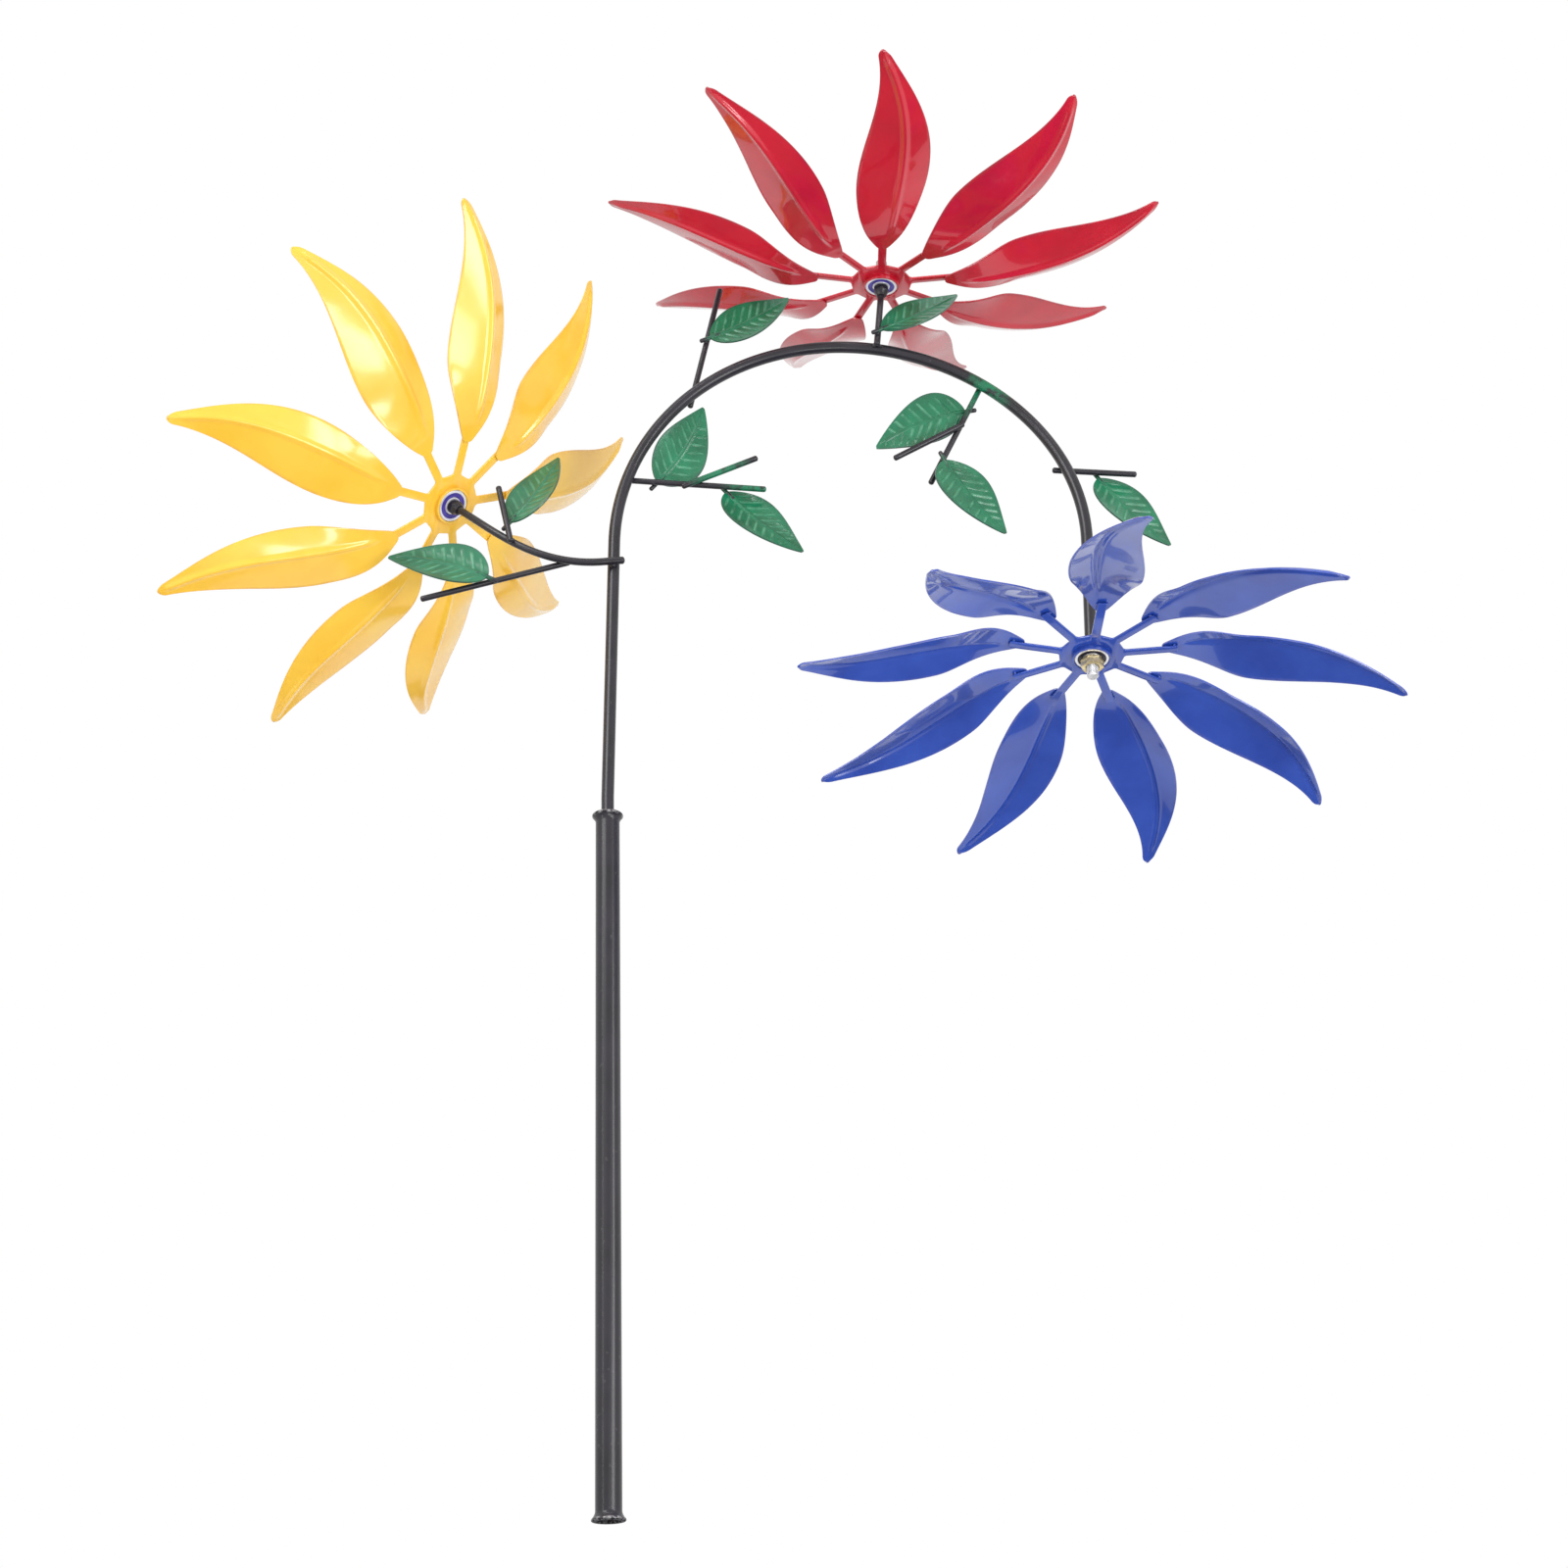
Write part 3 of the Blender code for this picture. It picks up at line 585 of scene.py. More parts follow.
# %% Petal sheet
PLATE_THICKNESS = 0.0015
FIT_GAP = 0.0003
PETAL_START_RADIUS = 0.045
SPOKE_END_RADIUS = 0.055
PETAL_SEAT = 0.0004
PETAL_SWEEP_SKEW = 1.85
PETAL_HOOK_POWER = 4.5
PETAL_BEND_POWER = 2
PETAL_DISH_POWER = 1.5
PETAL_DISH_RUN = 0.3
PETAL_RISE_POWER = 1.6
PETAL_FLANK_POWER = 1.2
COLUMN_CROWDING = 1.5
RIB_SHIFT_SKEW = 0.7
RIB_SHIFT_LIMIT = 0.5
RIB_START = (0.075, 0.18)
RIB_END = (0.93, 0.995)
EDGE_BAND = (0.96, 1.0)
TIP_BAND = (0.992, 1.0)
SHEET_MERGE = 0.00002


def petal_sheet(tree, size):
    """One petal along X, as a single surface: the front face of the sheet."""
    grid, run, across = unit_grid(tree, size["Rows"], size["Columns"])
    share = (1 - (run * pi).math("COSINE")) * 0.5
    width, half = petal_outline(size, share)
    flank = abs(across) ** COLUMN_CROWDING
    crease = (size["Rib shift"] * (share ** RIB_SHIFT_SKEW * pi).math("SINE")).least(half * RIB_SHIFT_LIMIT)
    offset = crease * (1 - flank) + half * flank * across.math("SIGN")
    under = (SPOKE_END_RADIUS - PETAL_START_RADIUS) / PETAL_LENGTH
    depth = size["Dish"] * share.eased(under, under + PETAL_DISH_RUN)
    rim = depth * (width / size["Half width"]) ** PETAL_DISH_POWER
    rib = size["Rib height"] * share.eased(*RIB_START) * (1 - share.eased(*RIB_END))
    dish = rim * flank ** PETAL_FLANK_POWER - rib * ((offset - crease) / size["Rib half width"]).hump()
    past = (share - under).most(0) / (1 - under)
    climb = size["Rise"] * past ** (PETAL_RISE_POWER - 1) * (PETAL_RISE_POWER / PETAL_LENGTH / (1 - under))
    pitch = past * size["Pitch"]
    side = offset * pitch.math("COSINE") - dish * pitch.math("SINE")
    lift = (offset * pitch.math("SINE") + dish * pitch.math("COSINE")) * (climb * climb + 1) ** -0.5
    bow = size["Sweep"] * (share ** PETAL_SWEEP_SKEW * pi).math("SINE")
    middle = bow - size["Hook"] * share ** PETAL_HOOK_POWER + size["Swing"] * past ** PETAL_BEND_POWER
    behind = PLATE_THICKNESS / 2 + FIT_GAP + PETAL_SEAT
    marked = stored(tree, grid, "edge", abs(across).eased(*EDGE_BAND).most(share.eased(*TIP_BAND)))
    marked = stored(tree, marked, "past", past)
    bent = joined_axes(tree, share * PETAL_LENGTH + PETAL_START_RADIUS - lift * climb, middle + side,
                       size["Rise"] * past ** PETAL_RISE_POWER - behind + lift)
    return merged(tree, moved(tree, marked, "Position", bent), SHEET_MERGE)


print("petal sheet ready for", PETAL_COUNT, "petals")

# %% [markdown]
# The tree puts nine instances of the sheet on nine points and turns them round the axle, each with a slight
# twist of its own. They are realized before a slow noise adds the dents of hand pressing, because the dents
# of an instance would repeat on every petal. These dents make the reflections wander. The petal that was
# bent by hand is picked by a number that its points carry.

# %% Petal tree
DENT_START = (0.06, 0.25)
DENT_SCALE = 28.0


def petal_bend(tree, size):
    """How far each point of the ring moves where the bent petal swings and rises."""
    petal = named(tree, "petal")
    past = named(tree, "past")
    chosen = (1 - abs(petal + 1 - size["Bent petal"])).most(0)
    turn = petal * (2 * pi) / size["Petals"]
    swing = size["Bend swing"] * past ** PETAL_BEND_POWER * chosen
    rise = size["Bend rise"] * past ** PETAL_RISE_POWER * chosen
    return joined_axes(tree, swing * turn.math("SINE"), swing * turn.math("COSINE"), rise)


def petal_tree():
    tree, size = new_recipe("petal ring", PETAL_SIZES)
    line = step(tree, "GeometryNodeMeshLine", {"Count": size["Petals"], "Offset": (0, 0, 0)}).outputs[0]
    index = Number(tree, step(tree, "GeometryNodeInputIndex").outputs[0])
    line = stored(tree, line, "petal", index)
    twist = chance(tree, size["Twist"] * -1, size["Twist"], size["Seed"])
    turn = rotation(tree, twist, 0.0, index * (-2 * pi) / size["Petals"])
    ring = step(tree, "GeometryNodeInstanceOnPoints",
                {"Points": line, "Instance": petal_sheet(tree, size), "Rotation": turn}).outputs[0]
    ring = step(tree, "GeometryNodeRealizeInstances", {"Geometry": ring}).outputs[0]
    ring = moved(tree, ring, "Offset", petal_bend(tree, size))
    place = step(tree, "GeometryNodeInputPosition").outputs[0]
    slow = step(tree, "ShaderNodeTexNoise",
                {"Vector": place, "W": size["Seed"], "Scale": DENT_SCALE, "Detail": 1.0},
                noise_dimensions="4D")
    push = (Number(tree, slow.outputs[0]) - 0.5) * 2 * size["Dents"] * named(tree, "past").eased(*DENT_START)
    normal = step(tree, "GeometryNodeInputNormal").outputs[0]
    end_recipe(tree, moved(tree, ring, "Offset", scaled(tree, normal, push)), size["Paint"])
    return tree


PETAL_TREE = petal_tree()
print("petal nodes:", len(PETAL_TREE.nodes))

# %% [markdown]
# The surface becomes sheet metal with Solidify, which adds its thickness behind the front face, and a tiny
# Bevel rounds the cut edge, as paint does. Without that rounding the edge would catch no light at all. The
# petals of each flower rise, swing and pitch by their own amounts. One petal of each was bent further by
# hand, which is given by its number and by how far its tip swings and rises.

# %% Petals
PETAL_SHEET = 0.001
CUT_EDGE_BEVEL = 0.00022
CUT_EDGE_ANGLE = radians(60)
PETAL_RISE = {"yellow": 0.056, "red": 0.045, "blue": 0.045}
PETAL_SWING = {"yellow": 0.005, "red": 0.004, "blue": 0.0}
PETAL_PITCH = {"yellow": radians(1), "red": radians(-6), "blue": radians(-2)}
BENT_PETAL = {"yellow": (4, 0.015, 0.0), "red": (2, 0.012, 0.0), "blue": (9, -0.006, 0.014)}
PETAL_SEED = {"yellow": 3, "red": 4, "blue": 5}


def thicken(item, thickness, offset):
    """Gives a face its thickness, behind it for an offset of -1 or on both sides for 0, and a round edge."""
    sheet = item.modifiers.new("sheet", "SOLIDIFY")
    sheet.thickness = thickness
    sheet.offset = offset
    edge = item.modifiers.new("cut edge", "BEVEL")
    edge.width = CUT_EDGE_BEVEL
    edge.segments = 2
    edge.limit_method = "ANGLE"
    edge.angle_limit = CUT_EDGE_ANGLE


def make_petals(colour):
    bent, swing, rise = BENT_PETAL[colour]
    item = recipe_object(f"{colour}_petals", PETAL_TREE, {
        "Rise": PETAL_RISE[colour], "Swing": PETAL_SWING[colour], "Pitch": PETAL_PITCH[colour],
        "Bent petal": bent, "Bend swing": swing, "Bend rise": rise,
        "Seed": PETAL_SEED[colour], "Paint": FLOWER_PAINT[colour]})
    thicken(item, PETAL_SHEET, -1)
    nodes = [f"{colour}_petal_{petal + 1}" for petal in range(PETAL_COUNT)]
    settle(plain_mesh(item), f"{colour}_rotor", nodes, ROTOR[colour])


for colour in FLOWER_COLOURS:
    make_petals(colour)

# %% [markdown]
# The spider is cut from flat plate: a disc with nine spokes and a hole for the bearing. A flat curve is the
# natural tool, because its own bevel rounds the cut edge. The corner where a spoke leaves the disc is an arc
# that touches both, as a press tool would leave it.

# %% Spider outline
DISC_RADIUS = 0.021
SPOKE_HALF_WIDTH = 0.0029
SPOKE_FILLET = 0.0022
SPOKE_CORNER = 0.0007
ARC_STEPS = 6


def arc(centre, radius, start, end, steps=ARC_STEPS):
    angles = [start + (end - start) * number / steps for number in range(steps + 1)]
    return [Vector((centre[0] + radius * cos(angle), centre[1] + radius * sin(angle))) for angle in angles]


def spider_outline():
    """Round the disc, with each spoke's two fillets and the corners of its end."""
    height = SPOKE_HALF_WIDTH + SPOKE_FILLET
    reach = sqrt((DISC_RADIUS + SPOKE_FILLET) ** 2 - height ** 2)
    fillet = arc((reach, height), SPOKE_FILLET, pi + atan2(height, reach), pi * 1.5)
    end = (SPOKE_END_RADIUS - SPOKE_CORNER, SPOKE_HALF_WIDTH - SPOKE_CORNER)
    upper = fillet + arc(end, SPOKE_CORNER, pi / 2, 0)
    spoke = [Vector((point.x, -point.y)) for point in upper] + upper[::-1]
    turns = [Matrix.Rotation(number * 2 * pi / PETAL_COUNT, 2) for number in range(PETAL_COUNT)]
    return [turn @ point for turn in turns for point in spoke]


print("spider outline:", len(spider_outline()), "points")

# %% [markdown]
# The curve is filled, extruded and bevelled, and then made a mesh. Such a mesh has doubled points where its
# strips meet, so they are merged and the faces turned outward before it is painted.

# %% Spider plates
BEARING_RADIUS = 0.011
HOUSING_BORE_RADIUS = BEARING_RADIUS + FIT_GAP
PLATE_BEVEL = 0.0003
HOLE_STEPS = 64
WELD_DISTANCE = 0.000005


def cleaned(mesh, drop_slivers=False):
    """Merges doubled points and turns every face outward."""
    body = bmesh.new()
    body.from_mesh(mesh)
    bmesh.ops.remove_doubles(body, verts=body.verts, dist=WELD_DISTANCE)
    if drop_slivers:
        bmesh.ops.dissolve_degenerate(body, edges=body.edges, dist=WELD_DISTANCE)
    bmesh.ops.recalc_face_normals(body, faces=body.faces)
    body.to_mesh(mesh)
    body.free()
    return mesh


def flat_plate(name, outlines, thickness):
    curve = bpy.data.curves.new(name, "CURVE")
    curve.dimensions = "2D"
    curve.fill_mode = "BOTH"
    curve.bevel_depth = PLATE_BEVEL
    curve.bevel_resolution = 1
    curve.offset = -PLATE_BEVEL
    curve.extrude = thickness / 2 - PLATE_BEVEL
    for outline in outlines:
        run = curve.splines.new("POLY")
        run.use_cyclic_u = True
        run.points.add(len(outline) - 1)
        for knot, point in zip(run.points, outline):
            knot.co = (*point, 0, 1)
    item = new_object(name, curve)
    shape = item.evaluated_get(bpy.context.evaluated_depsgraph_get())
    mesh = bpy.data.meshes.new_from_object(shape)
    bpy.data.objects.remove(item)
    return cleaned(mesh)


for colour in FLOWER_COLOURS:
    hole = arc((0, 0), HOUSING_BORE_RADIUS + PLATE_BEVEL, 0, 2 * pi, HOLE_STEPS)[:-1]
    name = f"{colour}_spider_plate"
    plate = new_object(name, flat_plate(name, [spider_outline(), hole], PLATE_THICKNESS))
    plate.data.materials.append(FLOWER_PAINT[colour])
    settle(plate, f"{colour}_rotor", [f"{colour}_spider"], ROTOR[colour])

# %% [markdown]
# Round hardware is turned: a section of radius and height is spun about the axle. The same helper makes the
# hexagon nut, because the section may change with the angle. Sharp corners of a section are softened first,
# since turned and pressed parts never have a perfect edge.

# %% Helpers for turned pieces
TURNED_STEPS = 72
SOFT_STEPS = 4


def softened(section, radius, steps=SOFT_STEPS):
    """A closed section with every corner drawn as a small curve."""
    points = []
    for index, corner in enumerate(section):
        corner = Vector(corner)
        before, after = Vector(section[index - 1]), Vector(section[(index + 1) % len(section)])
        reach = min(radius, (before - corner).length / 2, (after - corner).length / 2)
        start = corner + (before - corner).normalized() * reach
        end = corner + (after - corner).normalized() * reach
        for number in range(steps + 1):
            share = number / steps
            points.append(start.lerp(corner, share).lerp(corner.lerp(end, share), share))
    return points


def spun(name, section_at, finish, steps=TURNED_STEPS):
    """A closed section carried round Z. section_at gives its radius and height points for an angle."""
    rings = []
    for number in range(steps):
        angle = 2 * pi * number / steps
        section = section_at(angle)
        rings.append([(radius * cos(angle), radius * sin(angle), height) for radius, height in section])
    count = len(rings[0])
    faces = []
    for ring in range(steps):
        for point in range(count):
            after, following = (ring + 1) % steps, (point + 1) % count
            faces.append((ring * count + point, after * count + point,
                          after * count + following, ring * count + following))
    mesh = bpy.data.meshes.new(name)
    mesh.from_pydata([point for ring in rings for point in ring], [], faces)
    mesh.materials.append(finish)
    return new_object(name, cleaned(mesh, drop_slivers=True))


def turned(name, section, finish, softness=0.0, steps=TURNED_STEPS):
    soft = softened(section, softness) if softness else section
    return spun(name, lambda angle: soft, finish, steps)


def mark(item, name, value_at):
    """Stores a number on every point of a turned piece, from its radius and height."""
    values = [value_at(vertex.co.xy.length, vertex.co.z) for vertex in item.data.vertices]
    item.data.attributes.new(name, "FLOAT", "POINT").data.foreach_set("value", values)


print("turning helpers ready")

# %% [markdown]
# The housing is a short tube welded through the disc and painted with it. The bearing sits inside: two bright
# steel rings with a seal set back between them on each side. The seal on the knob's side is violet. The one
# on the nut's side is painted dark, as painted shade for the deep recess it sits in.

# %% Housings and bearings
HOUSING_WALL = 0.0015
HOUSING_HALF = 0.004
HOUSING_SOFTNESS = 0.0005
BEARING_HALF = 0.0035
BEARING_BORE_RADIUS = 0.004
INNER_RING_RADIUS = 0.006
RACE_RADIUS = 0.0092
RACE_SOFTNESS = 0.0004
SEAL_RECESS = 0.0003
SEAL_THICKNESS = 0.0006
SEAL_LIP = 0.00025
SEAL_SOFTNESS = 0.00015


def rectangle(inner, outer, low, high):
    return [(outer, high), (outer, low), (inner, low), (inner, high)]


def make_housing(colour):
    outer = HOUSING_BORE_RADIUS + HOUSING_WALL
    section = rectangle(HOUSING_BORE_RADIUS, outer, -HOUSING_HALF, HOUSING_HALF)
    tube = turned(f"{colour}_housing", section, FLOWER_PAINT[colour], HOUSING_SOFTNESS)
    settle(tube, f"{colour}_rotor", place=ROTOR[colour])


def make_race(colour, label, inner, outer, body):
    section = rectangle(inner, outer, -BEARING_HALF, BEARING_HALF)
    race = turned(f"{colour}_{label}_race", section, BEARING_STEEL, RACE_SOFTNESS)
    settle(race, body, [f"{colour}_bearing_{label}_ring"], ROTOR[colour])


def make_seals(colour):
    face = BEARING_HALF - SEAL_RECESS
    lip = INNER_RING_RADIUS + FIT_GAP
    # The nut-side seal is the violet seal painted dark, as painted shade for its recess.
    for side, label, finish in ((1, "front", SEAL_PAINTED_SHADE), (-1, "rear", SEAL)):
        section = [(RACE_RADIUS, face - SEAL_THICKNESS), (lip, face - SEAL_THICKNESS), (lip, face),
                   (lip + SEAL_LIP * 2, face), (lip + SEAL_LIP * 3, face - SEAL_LIP),
                   (RACE_RADIUS - SEAL_LIP * 3, face - SEAL_LIP), (RACE_RADIUS - SEAL_LIP * 2, face),
                   (RACE_RADIUS, face)]
        facing = [(radius, side * height) for radius, height in section]
        seal = turned(f"{colour}_bearing_seal_{label}", facing, finish, SEAL_SOFTNESS)
        settle(seal, f"{colour}_rotor", place=ROTOR[colour])


for colour in FLOWER_COLOURS:
    make_housing(colour)
    make_race(colour, "inner", BEARING_BORE_RADIUS, INNER_RING_RADIUS, "arch")
    make_race(colour, "outer", RACE_RADIUS, BEARING_RADIUS, f"{colour}_rotor")
    make_seals(colour)

# %% [markdown]
# The nut is a hexagon whose corners are cut back by a cone at both ends. Its section is worked out for each
# angle: the outer radius follows the flats, and the chamfer drops further where a corner reaches out further.

# %% Nuts
SHOULDER = BEARING_HALF + FIT_GAP
NUT_HALF_FLATS = 0.0065
NUT_HEIGHT = 0.0065
NUT_BORE_RADIUS = 0.004
NUT_COUNTERSINK = 0.0006
NUT_FACE_RADIUS = 0.0061
NUT_CHAMFER = tan(radians(30))
FLAT_ANGLE = pi / 3


def nut_section(angle):
    from_flat = (angle + FLAT_ANGLE / 2) % FLAT_ANGLE - FLAT_ANGLE / 2
    outer = NUT_HALF_FLATS / cos(from_flat)
    drop = (outer - NUT_FACE_RADIUS) * NUT_CHAMFER
    low, high = SHOULDER, SHOULDER + NUT_HEIGHT
    mouth = NUT_BORE_RADIUS + NUT_COUNTERSINK
    return [(NUT_FACE_RADIUS, high), (outer, high - drop), (outer, low + drop), (NUT_FACE_RADIUS, low),
            (mouth, low), (NUT_BORE_RADIUS, low + NUT_COUNTERSINK), (NUT_BORE_RADIUS, high - NUT_COUNTERSINK),
            (mouth, high)]


for colour in FLOWER_COLOURS:
    nut = spun(f"{colour}_hex_nut", nut_section, ZINC)
    settle(nut, "arch", [f"{colour}_axle_nut"], ROTOR[colour])

# %% [markdown]
# The axle is a threaded bolt. A thread could be a swept helix, but on a grid it is one formula: the radius
# dips as a zigzag of height, and the zigzag shifts by one pitch in a full turn. The last rows of the grid
# close the end of the bolt.

# %% Threaded axles
THREAD_SIZES = {
    "Rows": 150, "Columns": 49, "Radius": 0.0039, "Low": 0.0030, "High": 0.0173, "Pitch": 0.00125,
    "Depth": 0.0006, "Point": 0.0007, "Finish": None,
}
BOLT_SIDE_SHARE = 0.94
BOLT_POINT_SLOPE = 0.7


def thread_tree():
    tree, size = new_recipe("threaded bolt", THREAD_SIZES)
    grid, run, across = unit_grid(tree, size["Rows"], size["Columns"])
    height = size["Low"] + (size["High"] - size["Low"]) * (run / BOLT_SIDE_SHARE).least(1)
    closing = ((run - BOLT_SIDE_SHARE) / (1 - BOLT_SIDE_SHARE)).most(0)
    turn = (height / size["Pitch"] - across * 0.5).math("FRACT")
    zigzag = abs(turn - 0.5) * 2
    point = ((height - size["High"]) / size["Point"] + 1).most(0)
    pointed = size["Radius"] - size["Point"] * BOLT_POINT_SLOPE * point
    radius = (size["Radius"] - size["Depth"] * zigzag).least(pointed) * (1 - closing)
    angle = across * pi
    spot = joined_axes(tree, radius * angle.math("COSINE"), radius * angle.math("SINE"), height)
    end_recipe(tree, merged(tree, moved(tree, grid, "Position", spot), WELD_DISTANCE), size["Finish"])
    return tree


THREAD_TREE = thread_tree()
for colour in FLOWER_COLOURS:
    bolt = recipe_object(f"{colour}_axle_thread", THREAD_TREE, {"Finish": BOLT_STEEL})
    settle(plain_mesh(bolt), "arch", place=ROTOR[colour])

# %% [markdown]
# All rods and wires are swept along a route. The route is a chain of points, and each point carries the
# wire's radius and its share of green drift, so that one tree serves every rod.

# %% Swept wire tree
WIRE_SIZES = {"Sides": 20, "Finish": None}


def wire_tree():
    tree, size = new_recipe("swept wire", WIRE_SIZES)
    route = tree.nodes["Group Input"].outputs[0]
    curve = step(tree, "GeometryNodeMeshToCurve", {"Mesh": route}).outputs[0]
    ring = step(tree, "GeometryNodeCurvePrimitiveCircle",
                {"Resolution": size["Sides"], "Radius": 1.0}).outputs[0]
    tube = step(tree, "GeometryNodeCurveToMesh",
                {"Curve": curve, "Profile Curve": ring, "Scale": named(tree, "wire_radius")}).outputs[0]
    end_recipe(tree, merged(tree, tube, WELD_DISTANCE), size["Finish"])
    return tree


WIRE_TREE = wire_tree()
print("wire nodes:", len(WIRE_TREE.nodes))

# %% [markdown]
# A route is made of straight runs and curves, with points close enough for the drift to fade along it. The
# radius shrinks to nothing at both ends, which gives the blunt round ends that the cut wires have.

# %% Wire routes
WIRE_SPACING = 0.004
DOME_STEPS = 5
END_DOME = 0.7
DOME_CLEARANCE = 1.5


def sampled(route, spacing=WIRE_SPACING):
    """A route of straight runs with points added along each run."""
    points = [route[0]]
    for start, end in zip(route, route[1:]):
        count = max(1, round((end - start).length / spacing))
        points += [start.lerp(end, number / count) for number in range(1, count + 1)]
    return points


def bare(point):
    """No green drift anywhere."""
    return 0.0


def wire(points, diameter, drift=bare):
    """A chain of point, radius and drift, with both ends rounded."""
    radius = diameter / 2
    depth = END_DOME * radius
    first = (points[1] - points[0]).normalized()
    last = (points[-1] - points[-2]).normalized()
    dome = [(depth * (1 - cos(angle)), radius * sin(angle))
            for angle in (pi / 2 * number / DOME_STEPS for number in range(DOME_STEPS + 1))]
    chain = [(points[0] + first * inset, reach) for inset, reach in dome]
    chain += [(point, radius) for point in points[1:-1]
              if min((point - points[0]).length, (point - points[-1]).length) > depth * DOME_CLEARANCE]
    chain += [(points[-1] - last * inset, reach) for inset, reach in reversed(dome)]
    return [(point, reach, drift(point)) for point, reach in chain]


def wire_object(name, chains, finish):
    points = [station for chain in chains for station in chain]
    edges, first = [], 0
    for chain in chains:
        edges += [(number, number + 1) for number in range(first, first + len(chain) - 1)]
        first += len(chain)
    mesh = bpy.data.meshes.new(name)
    mesh.from_pydata([station[0] for station in points], edges, [])
    for index, label in ((1, "wire_radius"), (2, "drift")):
        values = [station[index] for station in points]
        mesh.attributes.new(label, "FLOAT", "POINT").data.foreach_set("value", values)
    return plain_mesh(recipe_object(name, WIRE_TREE, {"Finish": finish}, mesh))


print("wires: a point every", WIRE_SPACING / MILLIMETRE, "mm")

# %% [markdown]
# The arch is one rod: up from the pole with a slight lean, over in an arc and down to the blue flower. Its
# route is a straight run, an arc by formula, and a straight leg.

# %% Arch
POLE_LENGTH = 0.4274
STEM_FOOT = 0.3857
STEM_DIAMETER = 0.008
STEM_CLEAR_HEIGHT = 0.012
STEM_RISE = 0.1988
STEM_LEAN = radians(1.4)
ARCH_RADIUS = 0.1568
ARCH_SKEW = 0.0035
ARCH_END_HEADING = radians(183.1)
ARCH_STEPS = 160
KNOB_LENGTH = 0.0075
KNOB_END = SHOULDER + KNOB_LENGTH
KNOB_ROD_SINK = 0.0025
ARCH_DRIFT_HEADING = radians(131)
ARCH_DRIFT_REACH = 0.019
DRIFT_FADE_POWER = 0.6


def arch_radius(heading):
    """The arc is a little fuller on the stem's side."""
    return ARCH_RADIUS + ARCH_SKEW * sin(2 * heading) * sin(heading)


stem_top = Vector(((STEM_RISE - STEM_CLEAR_HEIGHT) * tan(STEM_LEAN), 0, POLE_LENGTH + STEM_RISE))
arch_centre = stem_top + arch_radius(STEM_LEAN) * Vector((cos(STEM_LEAN), 0, -sin(STEM_LEAN)))


def arch_point(heading):
    """The rod's centre, seen from the arch's centre at this angle up from the stem's side."""
    return arch_centre + arch_radius(heading) * Vector((-cos(heading), 0, sin(heading)))


def arch_tangent(heading):
    growth = ARCH_SKEW * (2 * cos(2 * heading) * sin(heading) + sin(2 * heading) * cos(heading))
    outward = Vector((-cos(heading), 0, sin(heading)))
    along = Vector((sin(heading), 0, cos(heading)))
    return (arch_radius(heading) * along + growth * outward).normalized()


def rod_end(colour):
    return ROTOR[colour].translation - (KNOB_END - KNOB_ROD_SINK) * axle_direction(colour)


def near(spot, reach):
    """Full drift at a spot, fading out to nothing at its reach."""
    return lambda point: max(0.0, 1 - (point - spot).length / reach) ** DRIFT_FADE_POWER


arch_route = sampled([Vector((0, 0, STEM_FOOT)), Vector((0, 0, POLE_LENGTH + STEM_CLEAR_HEIGHT)), stem_top])
arch_route += [arch_point(STEM_LEAN + (ARCH_END_HEADING - STEM_LEAN) * number / ARCH_STEPS)
               for number in range(1, ARCH_STEPS + 1)]
arch_route += sampled([arch_route[-1], rod_end("blue")])[1:]

arch_drift = near(arch_point(ARCH_DRIFT_HEADING), ARCH_DRIFT_REACH)
arch = wire_object("arch_rod", [wire(arch_route, STEM_DIAMETER, arch_drift)], CHARCOAL)
settle(arch, "arch", ["arch_stem"])

# %% [markdown]
# The yellow branch is a smooth curve whose two handles lead it sideways out of the stem and along the axle
# into its hub. The red stalk is straight. Both are welded to the front of the arch.

# %% Branch and stalk
BRANCH_DIAMETER = 0.005
BRANCH_HEIGHT = 0.1818
BRANCH_TAIL = 0.008
BRANCH_ROOT_HANDLE = Vector((-0.047, -0.003, -0.007))
BRANCH_HUB_HANDLE = 0.045
BRANCH_STEPS = 56
STALK_DIAMETER = 0.0045
STALK_STATION = radians(99.5)
STALK_TAIL = 0.0015

stem_lean_at_branch = (BRANCH_HEIGHT - STEM_CLEAR_HEIGHT) * tan(STEM_LEAN)
branch_root = Vector((stem_lean_at_branch, 0, POLE_LENGTH + BRANCH_HEIGHT))
branch_root += (STEM_DIAMETER / 2 + BRANCH_DIAMETER / 2 + FIT_GAP) * FRONT
branch_lead = rod_end("yellow") - BRANCH_HUB_HANDLE * axle_direction("yellow")
branch_curve = interpolate_bezier(
    branch_root, branch_root + BRANCH_ROOT_HANDLE, branch_lead, rod_end("yellow"), BRANCH_STEPS)
branch_route = [branch_root + Vector((BRANCH_TAIL, 0, 0))] + [Vector(point) for point in branch_curve]
stalk_root = arch_point(STALK_STATION) + (STEM_DIAMETER / 2 + STALK_DIAMETER / 2 + FIT_GAP) * FRONT
stalk_direction = (rod_end("red") - stalk_root).normalized()
stalk_route = sampled([stalk_root - STALK_TAIL * stalk_direction, rod_end("red")])

branch = wire_object("yellow_branch_rod", [wire(branch_route, BRANCH_DIAMETER)], CHARCOAL)
settle(branch, "arch", ["yellow_branch"])
stalk = wire_object("red_stalk_rod", [wire(stalk_route, STALK_DIAMETER)], CHARCOAL)
settle(stalk, "arch", ["red_stalk"])

# %% [markdown]
# Each rod ends in a rough knob of weld round the head of its axle, painted with the rod. A turned cone gives
# the mass of it, and a little three-dimensional noise pushes its points about, so that it looks welded.

